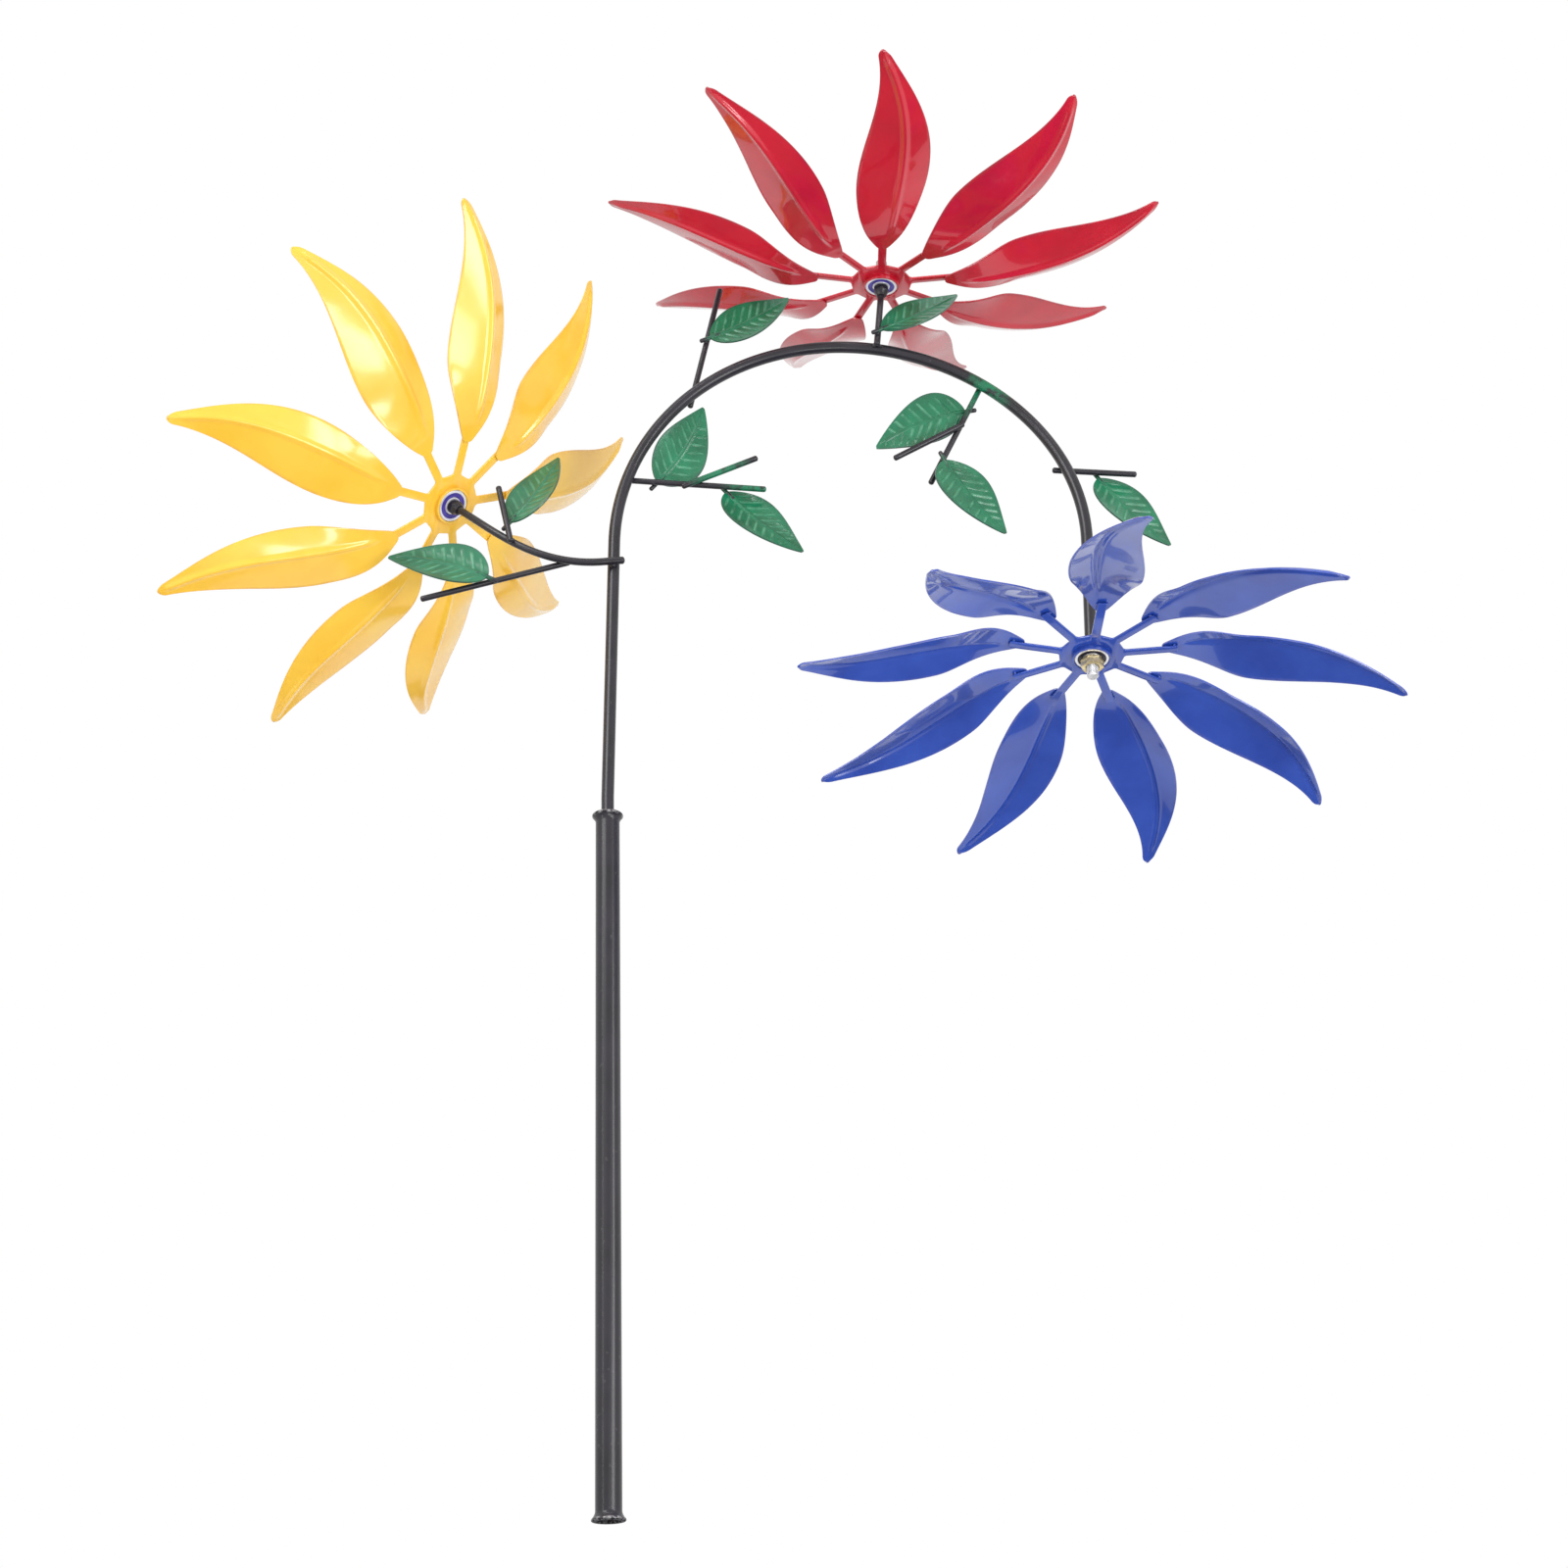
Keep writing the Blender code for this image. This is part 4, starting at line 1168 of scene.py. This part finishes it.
# %% Weld knobs
KNOB_RADIUS = 0.005
KNOB_REAR_RADIUS = 0.0033
KNOB_SHOULDER = 0.0035
KNOB_SPACING = 0.0005
KNOB_SOFTNESS = 0.0004
KNOB_STEPS = 48
KNOB_LUMPS = 0.00055
LUMP_SCALE = 420
LUMP_FADE = KNOB_LENGTH / 3


def make_knob(colour):
    section = [(0, -SHOULDER), (KNOB_RADIUS, -SHOULDER), (KNOB_RADIUS, -SHOULDER - KNOB_SHOULDER),
               (KNOB_REAR_RADIUS, -KNOB_END), (0, -KNOB_END)]
    runs = sampled([Vector(point) for point in section], KNOB_SPACING)
    outline = [tuple(point) for point in softened(runs, KNOB_SOFTNESS, 1)]
    knob = turned(f"{colour}_axle_knob", outline, CHARCOAL, steps=KNOB_STEPS)
    knob.data.transform(ROTOR[colour])
    for vertex in knob.data.vertices:
        lump = noise.noise(vertex.co * LUMP_SCALE)
        inward = ROTOR[colour].inverted() @ vertex.co
        loose = min(1, max(0, (-SHOULDER - inward.z) / LUMP_FADE))
        away = Vector((inward.x, inward.y, 0)).normalized() * KNOB_LUMPS * lump * loose
        vertex.co += ROTOR[colour].to_3x3() @ away
    settle(knob, "arch")


for colour in FLOWER_COLOURS:
    make_knob(colour)

# %% [markdown]
# A wire that is laid across another one touches it at a single point. These helpers find it: a place on the
# carrier, the normal that leads out of it to the front or the back, and the crossing wire's own middle beyond
# that. Every crossing is noted, because a weld goes there later.

# %% Where wires cross
weld_spots = []


def heading_vector(degrees):
    return Vector((cos(radians(degrees)), 0, sin(radians(degrees))))


def across(vector, normal):
    return (vector - normal * vector.dot(normal)).normalized()


def carrier_at(carrier, station):
    """A point on the arch or the branch, with its direction and thickness."""
    if carrier == "arch":
        return arch_point(radians(station)), arch_tangent(radians(station)), STEM_DIAMETER
    curve = branch_route[1:]
    share = station * (len(curve) - 1)
    run = curve[int(share) + 1] - curve[int(share)]
    return curve[int(share)] + (share - int(share)) * run, run.normalized(), BRANCH_DIAMETER


def laid_across(point, tangent, thickness, heading, own_thickness, side):
    """Where a wire crosses its carrier, which way it runs, and the normal between the two."""
    normal = across(side * BACK, tangent)
    crossing = point + (thickness / 2 + own_thickness / 2 + FIT_GAP) * normal
    weld_spots.append((point + thickness / 2 * normal, own_thickness, tangent))
    return crossing, across(heading_vector(heading), normal), normal


print("crossing helpers ready")

# %% [markdown]
# The twigs are straight wires laid across the arch or the branch and welded there, some with a second wire
# as a fork. Each one is given by the place where it crosses its carrier, its heading in the picture, and how
# far it reaches to both sides.

# %% Twigs
TWIG_DIAMETER = 0.004
FORK_SINK = 0.0008
TWIGS = {
    "branch_low_twig": dict(on="branch", at=0.25, heading=195, tail=0.004, reach=0.097, side=1),
    "branch_high_twig": dict(on="branch", at=0.58, heading=102, tail=0.004, reach=0.043, side=-1),
    "crown_left_twig": dict(on="arch", at=49.5, heading=77, tail=0.006, reach=0.097, side=1),
    "side_left_twig": dict(on="arch", at=21.5, heading=-7, tail=0.005, reach=0.093, side=1),
    "crown_right_twig": dict(on="arch", at=128, heading=-117, tail=0.004, reach=0.085, side=1),
    "side_right_twig": dict(on="arch", at=160.5, heading=-6, tail=0.008, reach=0.049, side=1),
}
FORKS = {
    "side_left_twig": dict(distance=0.044, heading=22, tail=0.009, reach=0.047),
    "crown_right_twig": dict(distance=0.036, heading=-152, tail=0.004, reach=0.052),
}
TWIG_DRIFT = {"side_left_twig": 0.086, "crown_right_twig": 0.004}
TWIG_DRIFT_REACH = 0.022
FORK_DRIFT = {"side_left_twig": 0.018, "crown_right_twig": -0.03}


def make_twig(name, twig):
    point, tangent, thickness = carrier_at(twig["on"], twig["at"])
    crossing, along, _ = laid_across(point, tangent, thickness, twig["heading"], TWIG_DIAMETER, twig["side"])
    drift = near(crossing + TWIG_DRIFT[name] * along, TWIG_DRIFT_REACH) if name in TWIG_DRIFT else bare
    route = sampled([crossing - twig["tail"] * along, crossing + twig["reach"] * along])
    chains = [wire(route, TWIG_DIAMETER, drift)]
    if name in FORKS:
        fork = FORKS[name]
        fork_along = heading_vector(fork["heading"])
        root = crossing + fork["distance"] * along + (TWIG_DIAMETER - FORK_SINK) * FRONT
        ends = [root - fork["tail"] * fork_along, root + fork["reach"] * fork_along]
        fork_drift = near(root + FORK_DRIFT[name] * fork_along, TWIG_DRIFT_REACH)
        chains.append(wire(sampled(ends), TWIG_DIAMETER, fork_drift))
        weld_spots.append((root - TWIG_DIAMETER / 2 * FRONT, TWIG_DIAMETER, along))
    settle(wire_object(f"{name}_wire", chains, CHARCOAL), "arch", [name])
    return crossing, along, TWIG_DIAMETER


twig_lines = {name: make_twig(name, twig) for name, twig in TWIGS.items()}
twig_lines["red_stalk"] = (stalk_root, stalk_direction, STALK_DIAMETER)

# %% [markdown]
# A leaf is pressed from thin sheet. The outline, the cup and the drifting tip follow a rule, so the leaf is
# bent from a grid like the petals. The press also strikes a midrib and pairs of slanting side veins. Counting
# distance along the midrib, less a share of the distance from it, gives a number that is the same all along
# one vein, so a hump once in every step of that number draws all of them together.

# %% Leaf tree
LEAF_SWELL_POWERS = (0.72, 0.9)
LEAF_DRIFT_POWER = 2.2
VEIN_SLANT = 0.62
VEIN_FROM_RIB = (0.001, 0.0026)
VEIN_TO_RIM = (0.7, 0.86)
VEIN_START = (0.05, 0.12)
VEIN_END = (0.8, 0.92)
LEAF_RIB_END = (0.86, 0.98)
LEAF_EDGE_BAND = (0.93, 1.0)
LEAF_TIP_BAND = (0.985, 1.0)
LEAF_SIZES = {
    "Rows": 150, "Columns": 49, "Length": 0.065, "Half width": 0.0185, "Tip half width": 0.0009,
    "Tip drift": 0.015, "Cup": 0.003, "Offset": 0.003, "Vein spacing": 0.0066, "Vein half width": 0.0007,
    "Vein height": 0.0009, "Rib height": 0.0008, "Rib half width": 0.001, "Hand": 1.0, "Paint": None,
}


def leaf_tree():
    tree, size = new_recipe("pressed leaf", LEAF_SIZES)
    grid, share, side = unit_grid(tree, size["Rows"], size["Columns"])
    shoulder, fullness = LEAF_SWELL_POWERS
    swell = (share ** shoulder * pi).math("SINE").most(0) ** fullness
    width = size["Tip half width"] + (size["Half width"] - size["Tip half width"]) * swell
    aside = abs(side) * width
    bowl = aside / size["Half width"]
    step_along = (size["Length"] * share - aside * VEIN_SLANT) / size["Vein spacing"]
    from_vein = (step_along.math("FRACT") - 0.5) * size["Vein spacing"]
    window = aside.eased(*VEIN_FROM_RIB) * (1 - abs(side).eased(*VEIN_TO_RIM))
    window = window * share.eased(*VEIN_START) * (1 - share.eased(*VEIN_END))
    ridge = (from_vein / size["Vein half width"]).hump() * window
    rib = (aside / size["Rib half width"]).hump() * size["Rib height"] * (1 - share.eased(*LEAF_RIB_END))
    marked = stored(tree, grid, "edge", abs(side).eased(*LEAF_EDGE_BAND).most(share.eased(*LEAF_TIP_BAND)))
    marked = stored(tree, marked, "ridge", ridge)
    relief = size["Cup"] * (bowl * bowl - share * share) + ridge * size["Vein height"] + rib
    bent = joined_axes(tree, size["Offset"] + size["Length"] * share,
                       side * width + size["Hand"] * size["Tip drift"] * share ** LEAF_DRIFT_POWER,
                       relief * size["Hand"])
    blade = moved(tree, marked, "Position", bent)
    end_recipe(tree, merged(tree, blade, SHEET_MERGE), size["Paint"])
    return tree


LEAF_TREE = leaf_tree()
print("leaf nodes:", len(LEAF_TREE.nodes))

# %% [markdown]
# Nine leaves share that tree. Each has its twig, its distance along it, its heading and its roll. Some were
# pressed less deep than others. The wire stalks of all leaves are swept together as one piece: each crosses
# its twig, ends in a short stub, and is green where it runs under the leaf.

# %% Leaves and their stalks
LEAF_SHEET = 0.001
LEAF_STALK_DIAMETER = 0.003
LEAF_STALK_STUB = 0.005
LEAF_STALK_REACH = 0.011
LEAF_STALK_SPACING = 0.0015
LEAF_STALK_GREEN = LEAF_STALK_REACH + LEAF_STALK_STUB * 0.4
LEAVES = {
    "branch_low": dict(on="branch_low_twig", at=0.049, heading=153, roll=16, side=-1, depth=0.7),
    "branch_high": dict(on="branch_high_twig", at=0.013, heading=52, roll=-26, side=1, depth=0.7),
    "crown_left": dict(on="crown_left_twig", at=0.05, heading=21, roll=-15, side=-1, depth=0.9),
    "side_left_upper": dict(on="side_left_twig", at=0.017, heading=48, roll=15, side=1, depth=1),
    "side_left_lower": dict(on="side_left_twig", at=0.064, heading=-52, roll=-25, side=1, depth=0.6),
    "red_stalk": dict(on="red_stalk", at=0.0085, heading=23, roll=-25, side=-1, depth=0.8),
    "crown_right_upper": dict(on="crown_right_twig", at=0.017, heading=-172, roll=-6, side=1, depth=1),
    "crown_right_lower": dict(on="crown_right_twig", at=0.064, heading=-67, roll=-20, side=-1, depth=1),
    "side_right": dict(on="side_right_twig", at=0.022, heading=-59, roll=-24, side=1, depth=0.9),
}
leaf_stalks = []


def make_leaf(name, leaf):
    root, along, thickness = twig_lines[leaf["on"]]
    point = root + leaf["at"] * along
    crossing, heading, normal = laid_across(
        point, along, thickness, leaf["heading"], LEAF_STALK_DIAMETER, leaf["side"])
    place = placement(crossing, heading, normal) @ Matrix.Rotation(radians(leaf["roll"]), 4, "X")
    item = recipe_object(f"{name}_blade", LEAF_TREE, {
        "Vein height": LEAF_SIZES["Vein height"] * leaf["depth"], "Hand": -1.0 * leaf["side"],
        "Paint": LEAF_ENAMEL})
    thicken(item, LEAF_SHEET, 0)
    settle(plain_mesh(item), "arch", [name], place)
    ends = [place @ Vector((-LEAF_STALK_STUB, 0, 0)), place @ Vector((LEAF_STALK_REACH, 0, 0))]
    green = near(ends[1], LEAF_STALK_GREEN)
    leaf_stalks.append(wire(sampled(ends, LEAF_STALK_SPACING), LEAF_STALK_DIAMETER, green))


for name, leaf in LEAVES.items():
    make_leaf(f"leaf_{name}", leaf)
settle(wire_object("leaf_stalks", leaf_stalks, CHARCOAL), "arch")

# %% [markdown]
# Wherever two wires cross there is a weld. A bead of weld is a small lump, so lumps are scattered by a tree:
# one point for each bead, a ball with noise on it, and a random turn and stretch with a fixed seed. They sit
# in pairs in the corners that the two wires make.

# %% Weld beads
BEAD_SIZES = {"Roundness": 3, "Lumps": 0.35, "Lump scale": 1.3, "Seed": 5, "Finish": None}
BEAD_STRETCH = (0.8, 1.15)
BEAD_ASIDE = 0.42
BEAD_SHARE = 0.36


def bead_tree():
    tree, size = new_recipe("weld beads", BEAD_SIZES)
    spots = tree.nodes["Group Input"].outputs[0]
    ball = step(tree, "GeometryNodeMeshIcoSphere",
                {"Radius": 1.0, "Subdivisions": size["Roundness"]}).outputs[0]
    place = step(tree, "GeometryNodeInputPosition").outputs[0]
    lump = step(tree, "ShaderNodeTexNoise", {"Vector": place, "Scale": size["Lump scale"]})
    swell = (Number(tree, lump.outputs[0]) - 0.5) * size["Lumps"] + 1
    bead = moved(tree, ball, "Position", scaled(tree, place, swell))
    turn = rotation(tree, *[chance(tree, 0.0, 2 * pi, size["Seed"] + axis) for axis in range(3)])
    reach = named(tree, "bead_radius")
    stretch = joined_axes(
        tree, *[reach * chance(tree, *BEAD_STRETCH, size["Seed"] + 3 + axis) for axis in range(3)])
    beads = step(tree, "GeometryNodeInstanceOnPoints",
                 {"Points": spots, "Instance": bead, "Rotation": turn, "Scale": stretch}).outputs[0]
    end_recipe(tree, beads, size["Finish"])
    return tree


def make_beads(name, spots, body, finish):
    mesh = bpy.data.meshes.new(name)
    mesh.from_pydata([spot for spot, _ in spots], [], [])
    radii = [radius for _, radius in spots]
    mesh.attributes.new("bead_radius", "FLOAT", "POINT").data.foreach_set("value", radii)
    settle(plain_mesh(recipe_object(name, BEAD_TREE, {"Finish": finish}, mesh)), body)


BEAD_TREE = bead_tree()
weld_spots.append((branch_root + BRANCH_DIAMETER / 2 * BACK, BRANCH_DIAMETER, Vector((0, 0, 1))))
weld_spots.append((stalk_root + STALK_DIAMETER / 2 * BACK, STALK_DIAMETER, arch_tangent(STALK_STATION)))
wire_beads = [(spot + side * thickness * BEAD_ASIDE * tangent, thickness * BEAD_SHARE)
              for spot, thickness, tangent in weld_spots for side in (-1, 1)]
make_beads("wire_welds", wire_beads, "arch", CHARCOAL)

# %% [markdown]
# The petals are tacked to the spokes with two small welds each, one on each side near the spoke's end. They
# are lumps like the beads, so the same tree makes them.

# %% Petal tacks
TACK_RADIUS = 0.0009
TACK_INSET = 0.0022
TACK_SINK = 0.0002
TACK_REACH = SPOKE_END_RADIUS - TACK_INSET
TACK_LEVEL = -PLATE_THICKNESS / 2 - TACK_SINK
TACK_CORNERS = [Vector((TACK_REACH, side * SPOKE_HALF_WIDTH, TACK_LEVEL)) for side in (-1, 1)]

for colour in FLOWER_COLOURS:
    tacks = []
    for petal in range(PETAL_COUNT):
        turn = ROTOR[colour] @ Matrix.Rotation(-petal * 2 * pi / PETAL_COUNT, 4, "Z")
        tacks += [(turn @ corner, TACK_RADIUS) for corner in TACK_CORNERS]
    make_beads(f"{colour}_petal_tacks", tacks, f"{colour}_rotor", FLOWER_PAINT[colour])

# %% [markdown]
# The pole is a steel tube with a lip rolled outward at both ends. Its section runs down the outside and back
# up the bore. The lip swells out of the wall in a smooth curve and ends in a round edge, where the paint has
# rubbed through. The flat ring at the foot is bare pale metal as well, partly as painted light where the
# floor shades it from below. A nylon bush in the top guides the stem.

# %% Pole and bush
POLE_RADIUS = 0.0075
POLE_BORE_RADIUS = 0.006
LIP_RADIUS = 0.00975
LIP_HEIGHT = 0.002
LIP_ROLL = (-pi / 2, pi / 3)
LIP_FADE = 0.004
LIP_FADE_STEPS = 8
MOUTH_FLARE = 0.0009
MOUTH_DEPTH = 0.003
BUSH_LENGTH = 0.045
BUSH_FLOOR = 0.003
BUSH_CROWN = 0.0008
BUSH_RIM = 0.0006


def lip_section():
    """From the bore's mouth, over the rolled edge and down to the plain wall: radius and drop."""
    round_edge = arc((LIP_RADIUS - LIP_HEIGHT / 2, LIP_HEIGHT / 2), LIP_HEIGHT / 2, *LIP_ROLL)
    start = round_edge[-1]
    fade = []
    for number in range(1, LIP_FADE_STEPS + 1):
        share = number / LIP_FADE_STEPS
        swell = (1 - share) ** 2
        fade.append(Vector((POLE_RADIUS + (start.x - POLE_RADIUS) * swell, start.y + share * LIP_FADE)))
    return [Vector((POLE_BORE_RADIUS + MOUTH_FLARE, 0))] + round_edge + fade


def worn_lips_and_painted_light_foot(radius, height):
    """The outer edge of both lips, where paint has worn, and the flat ring at the foot, pale bare metal that
    is partly painted light where the floor shades it.
    """
    return float(radius > LIP_RADIUS - LIP_HEIGHT / 3 or height < LIP_HEIGHT / 4)


def make_pole():
    lip = lip_section()
    section = [(point.x, POLE_LENGTH - point.y) for point in lip]
    section += [(point.x, point.y) for point in reversed(lip)]
    section += [(POLE_BORE_RADIUS, MOUTH_DEPTH), (POLE_BORE_RADIUS, POLE_LENGTH - MOUTH_DEPTH)]
    pole = turned("pole_tube", section, CHARCOAL)
    mark(pole, "edge", worn_lips_and_painted_light_foot)
    settle(pole, "pole", ["lower_pole"])


def make_bush():
    outer = POLE_BORE_RADIUS - FIT_GAP
    bore = STEM_DIAMETER / 2 + FIT_GAP
    top, foot = POLE_LENGTH + BUSH_CROWN, POLE_LENGTH - BUSH_LENGTH
    section = [(0, foot + BUSH_FLOOR), (bore, foot + BUSH_FLOOR), (bore, top), (bore + BUSH_RIM, top),
               (outer + MOUTH_FLARE, POLE_LENGTH), (outer, POLE_LENGTH - MOUTH_DEPTH),
               (outer, foot), (0, foot)]
    settle(turned("bush_sleeve", section, NYLON), "pole", ["stem_bush"])


make_pole()
make_bush()

# %% [markdown]
# The stage is a pale floor. The camera is lower than the pole's foot, so the floor lets rays through from
# below, and it fades out at its rim. Two grey cloths lie on it, one under the flowers and one behind them.
# Only reflections see them, and they give gloss paint its deep and pale parts, as in a studio.

# %% Floor and cloths
WHITE = (1, 1, 1, 1)
FLOOR_RADIUS = 1.6
FLOOR_SIDES = 96
FLOOR_FADE = (FLOOR_RADIUS * 0.45, FLOOR_RADIUS * 0.98)
FLOOR_LEVEL = -0.006
FLOOR_COLOUR = screen_colour(250, 250, 250)
CLOTH_LEVEL = -0.004
CLOTH_SIDES = (-0.6, 1.0)
CLOTH_RUNS = ((-0.4, 0.38), (0.95, 1.5))
CLOTH_DEEP = screen_colour(132, 132, 135)
CLOTH_FULL = screen_colour(158, 158, 161)


def floor_finish():
    finish = bpy.data.materials.new("pale_floor")
    finish.use_nodes = True
    tree = finish.node_tree
    tree.nodes.clear()
    place = step(tree, "ShaderNodeTexCoord").outputs["Object"]
    reach = Number(tree, step(tree, "ShaderNodeVectorMath", {0: place}, operation="LENGTH").outputs["Value"])
    grain = ramp(tree, cloud(tree, place, scale=8, detail=3), 0.3, FLOOR_COLOUR, 0.7, WHITE)
    below = Number(tree, step(tree, "ShaderNodeNewGeometry").outputs["Backfacing"])
    gone = below.most(reach.eased(*FLOOR_FADE))
    matt = step(tree, "ShaderNodeBsdfDiffuse", {"Color": grain}).outputs[0]
    white = step(tree, "ShaderNodeEmission", {"Color": WHITE, "Strength": 1.0}).outputs[0]
    mirrored = step(tree, "ShaderNodeLightPath").outputs["Is Glossy Ray"]
    seen = step(tree, "ShaderNodeMixShader", {0: mirrored, 1: matt, 2: white}).outputs[0]
    clear = step(tree, "ShaderNodeBsdfTransparent").outputs[0]
    mixed = step(tree, "ShaderNodeMixShader", {0: gone, 1: seen, 2: clear}).outputs[0]
    feed(tree, mixed, step(tree, "ShaderNodeOutputMaterial").inputs["Surface"])
    return finish


def cloth_finish():
    finish, tree, shader, place = new_finish("grey_cloth", {"Roughness": 1.0, "Specular IOR Level": 0.0})
    weave = ramp(tree, cloud(tree, place, scale=30, detail=3), 0.3, CLOTH_DEEP, 0.7, CLOTH_FULL)
    feed(tree, weave, shader.inputs["Base Color"])
    return finish


def add_cloth():
    """Only the gloss of the paint sees the cloths. They give no shadow and take no light from the piece."""
    mesh = bpy.data.meshes.new("grey_cloth")
    corners = [(x, y, CLOTH_LEVEL) for run in CLOTH_RUNS for y in run for x in CLOTH_SIDES]
    mesh.from_pydata(corners, [], [(0, 1, 3, 2), (4, 5, 7, 6)])
    mesh.materials.append(cloth_finish())
    cloth = new_object("grey_cloth", mesh)
    cloth.visible_camera = False
    cloth.visible_diffuse = False
    cloth.visible_transmission = False
    cloth.visible_shadow = False


def add_floor():
    body = bmesh.new()
    bmesh.ops.create_circle(body, cap_ends=True, segments=FLOOR_SIDES, radius=FLOOR_RADIUS)
    mesh = bpy.data.meshes.new("floor")
    body.to_mesh(mesh)
    body.free()
    mesh.transform(Matrix.Translation((0, 0, FLOOR_LEVEL)))
    mesh.materials.append(floor_finish())
    new_object("floor", mesh)


add_floor()
add_cloth()
print("cloths on the floor:", len(CLOTH_RUNS))

# %% [markdown]
# The world is plain white to the camera and to reflections, and dimmer as a light, so that big soft lamps can
# shape the petals. The small low lamps make the white streaks along them.

# %% World and lamps
SKY_LIGHT = 0.55
LAMPS = {
    "key": dict(place=(-0.9, -1.5, 1.5), size=(1.0, 0.8), watts=16),
    "fill": dict(place=(1.6, -1.12, 0.78), size=(0.35, 0.5), watts=5),
    "low": dict(place=(0.9, -0.95, 0.14), size=(0.5, 0.7), watts=7.5),
    "front": dict(place=(0.22, -0.64, 0.03), size=(0.26, 0.16), watts=1.2),
    "top_strip": dict(place=(0.1, -0.9, 1.7), size=(1.6, 0.06), watts=3),
    "side_strip": dict(place=(-1.1, -1.1, 0.5), size=(0.06, 1.4), watts=3),
}
LAMP_TARGET = Vector((0.1, 0, 0.62))


def add_world():
    world = bpy.data.worlds.new("studio")
    world.use_nodes = True
    tree = world.node_tree
    tree.nodes.clear()
    rays = step(tree, "ShaderNodeLightPath").outputs
    shown = Number(tree, rays["Is Camera Ray"]).most(rays["Is Glossy Ray"]).most(rays["Is Transmission Ray"])
    light = step(tree, "ShaderNodeBackground", {"Color": WHITE, "Strength": SKY_LIGHT}).outputs[0]
    backdrop = step(tree, "ShaderNodeBackground", {"Color": WHITE, "Strength": 1.0}).outputs[0]
    mixed = step(tree, "ShaderNodeMixShader", {0: shown, 1: light, 2: backdrop}).outputs[0]
    feed(tree, mixed, step(tree, "ShaderNodeOutputWorld").inputs["Surface"])
    bpy.context.scene.world = world


def add_lamp(name, lamp):
    data = bpy.data.lights.new(name, "AREA")
    data.shape = "RECTANGLE"
    data.size, data.size_y = lamp["size"]
    data.energy = lamp["watts"]
    item = new_object(name, data)
    item.location = lamp["place"]
    item.rotation_euler = (LAMP_TARGET - item.location).to_track_quat("-Z", "Y").to_euler()
    item.visible_camera = False


add_world()
for name, lamp in LAMPS.items():
    add_lamp(name, lamp)
bpy.context.scene.view_settings.view_transform = "Standard"
print("lamps:", list(LAMPS))
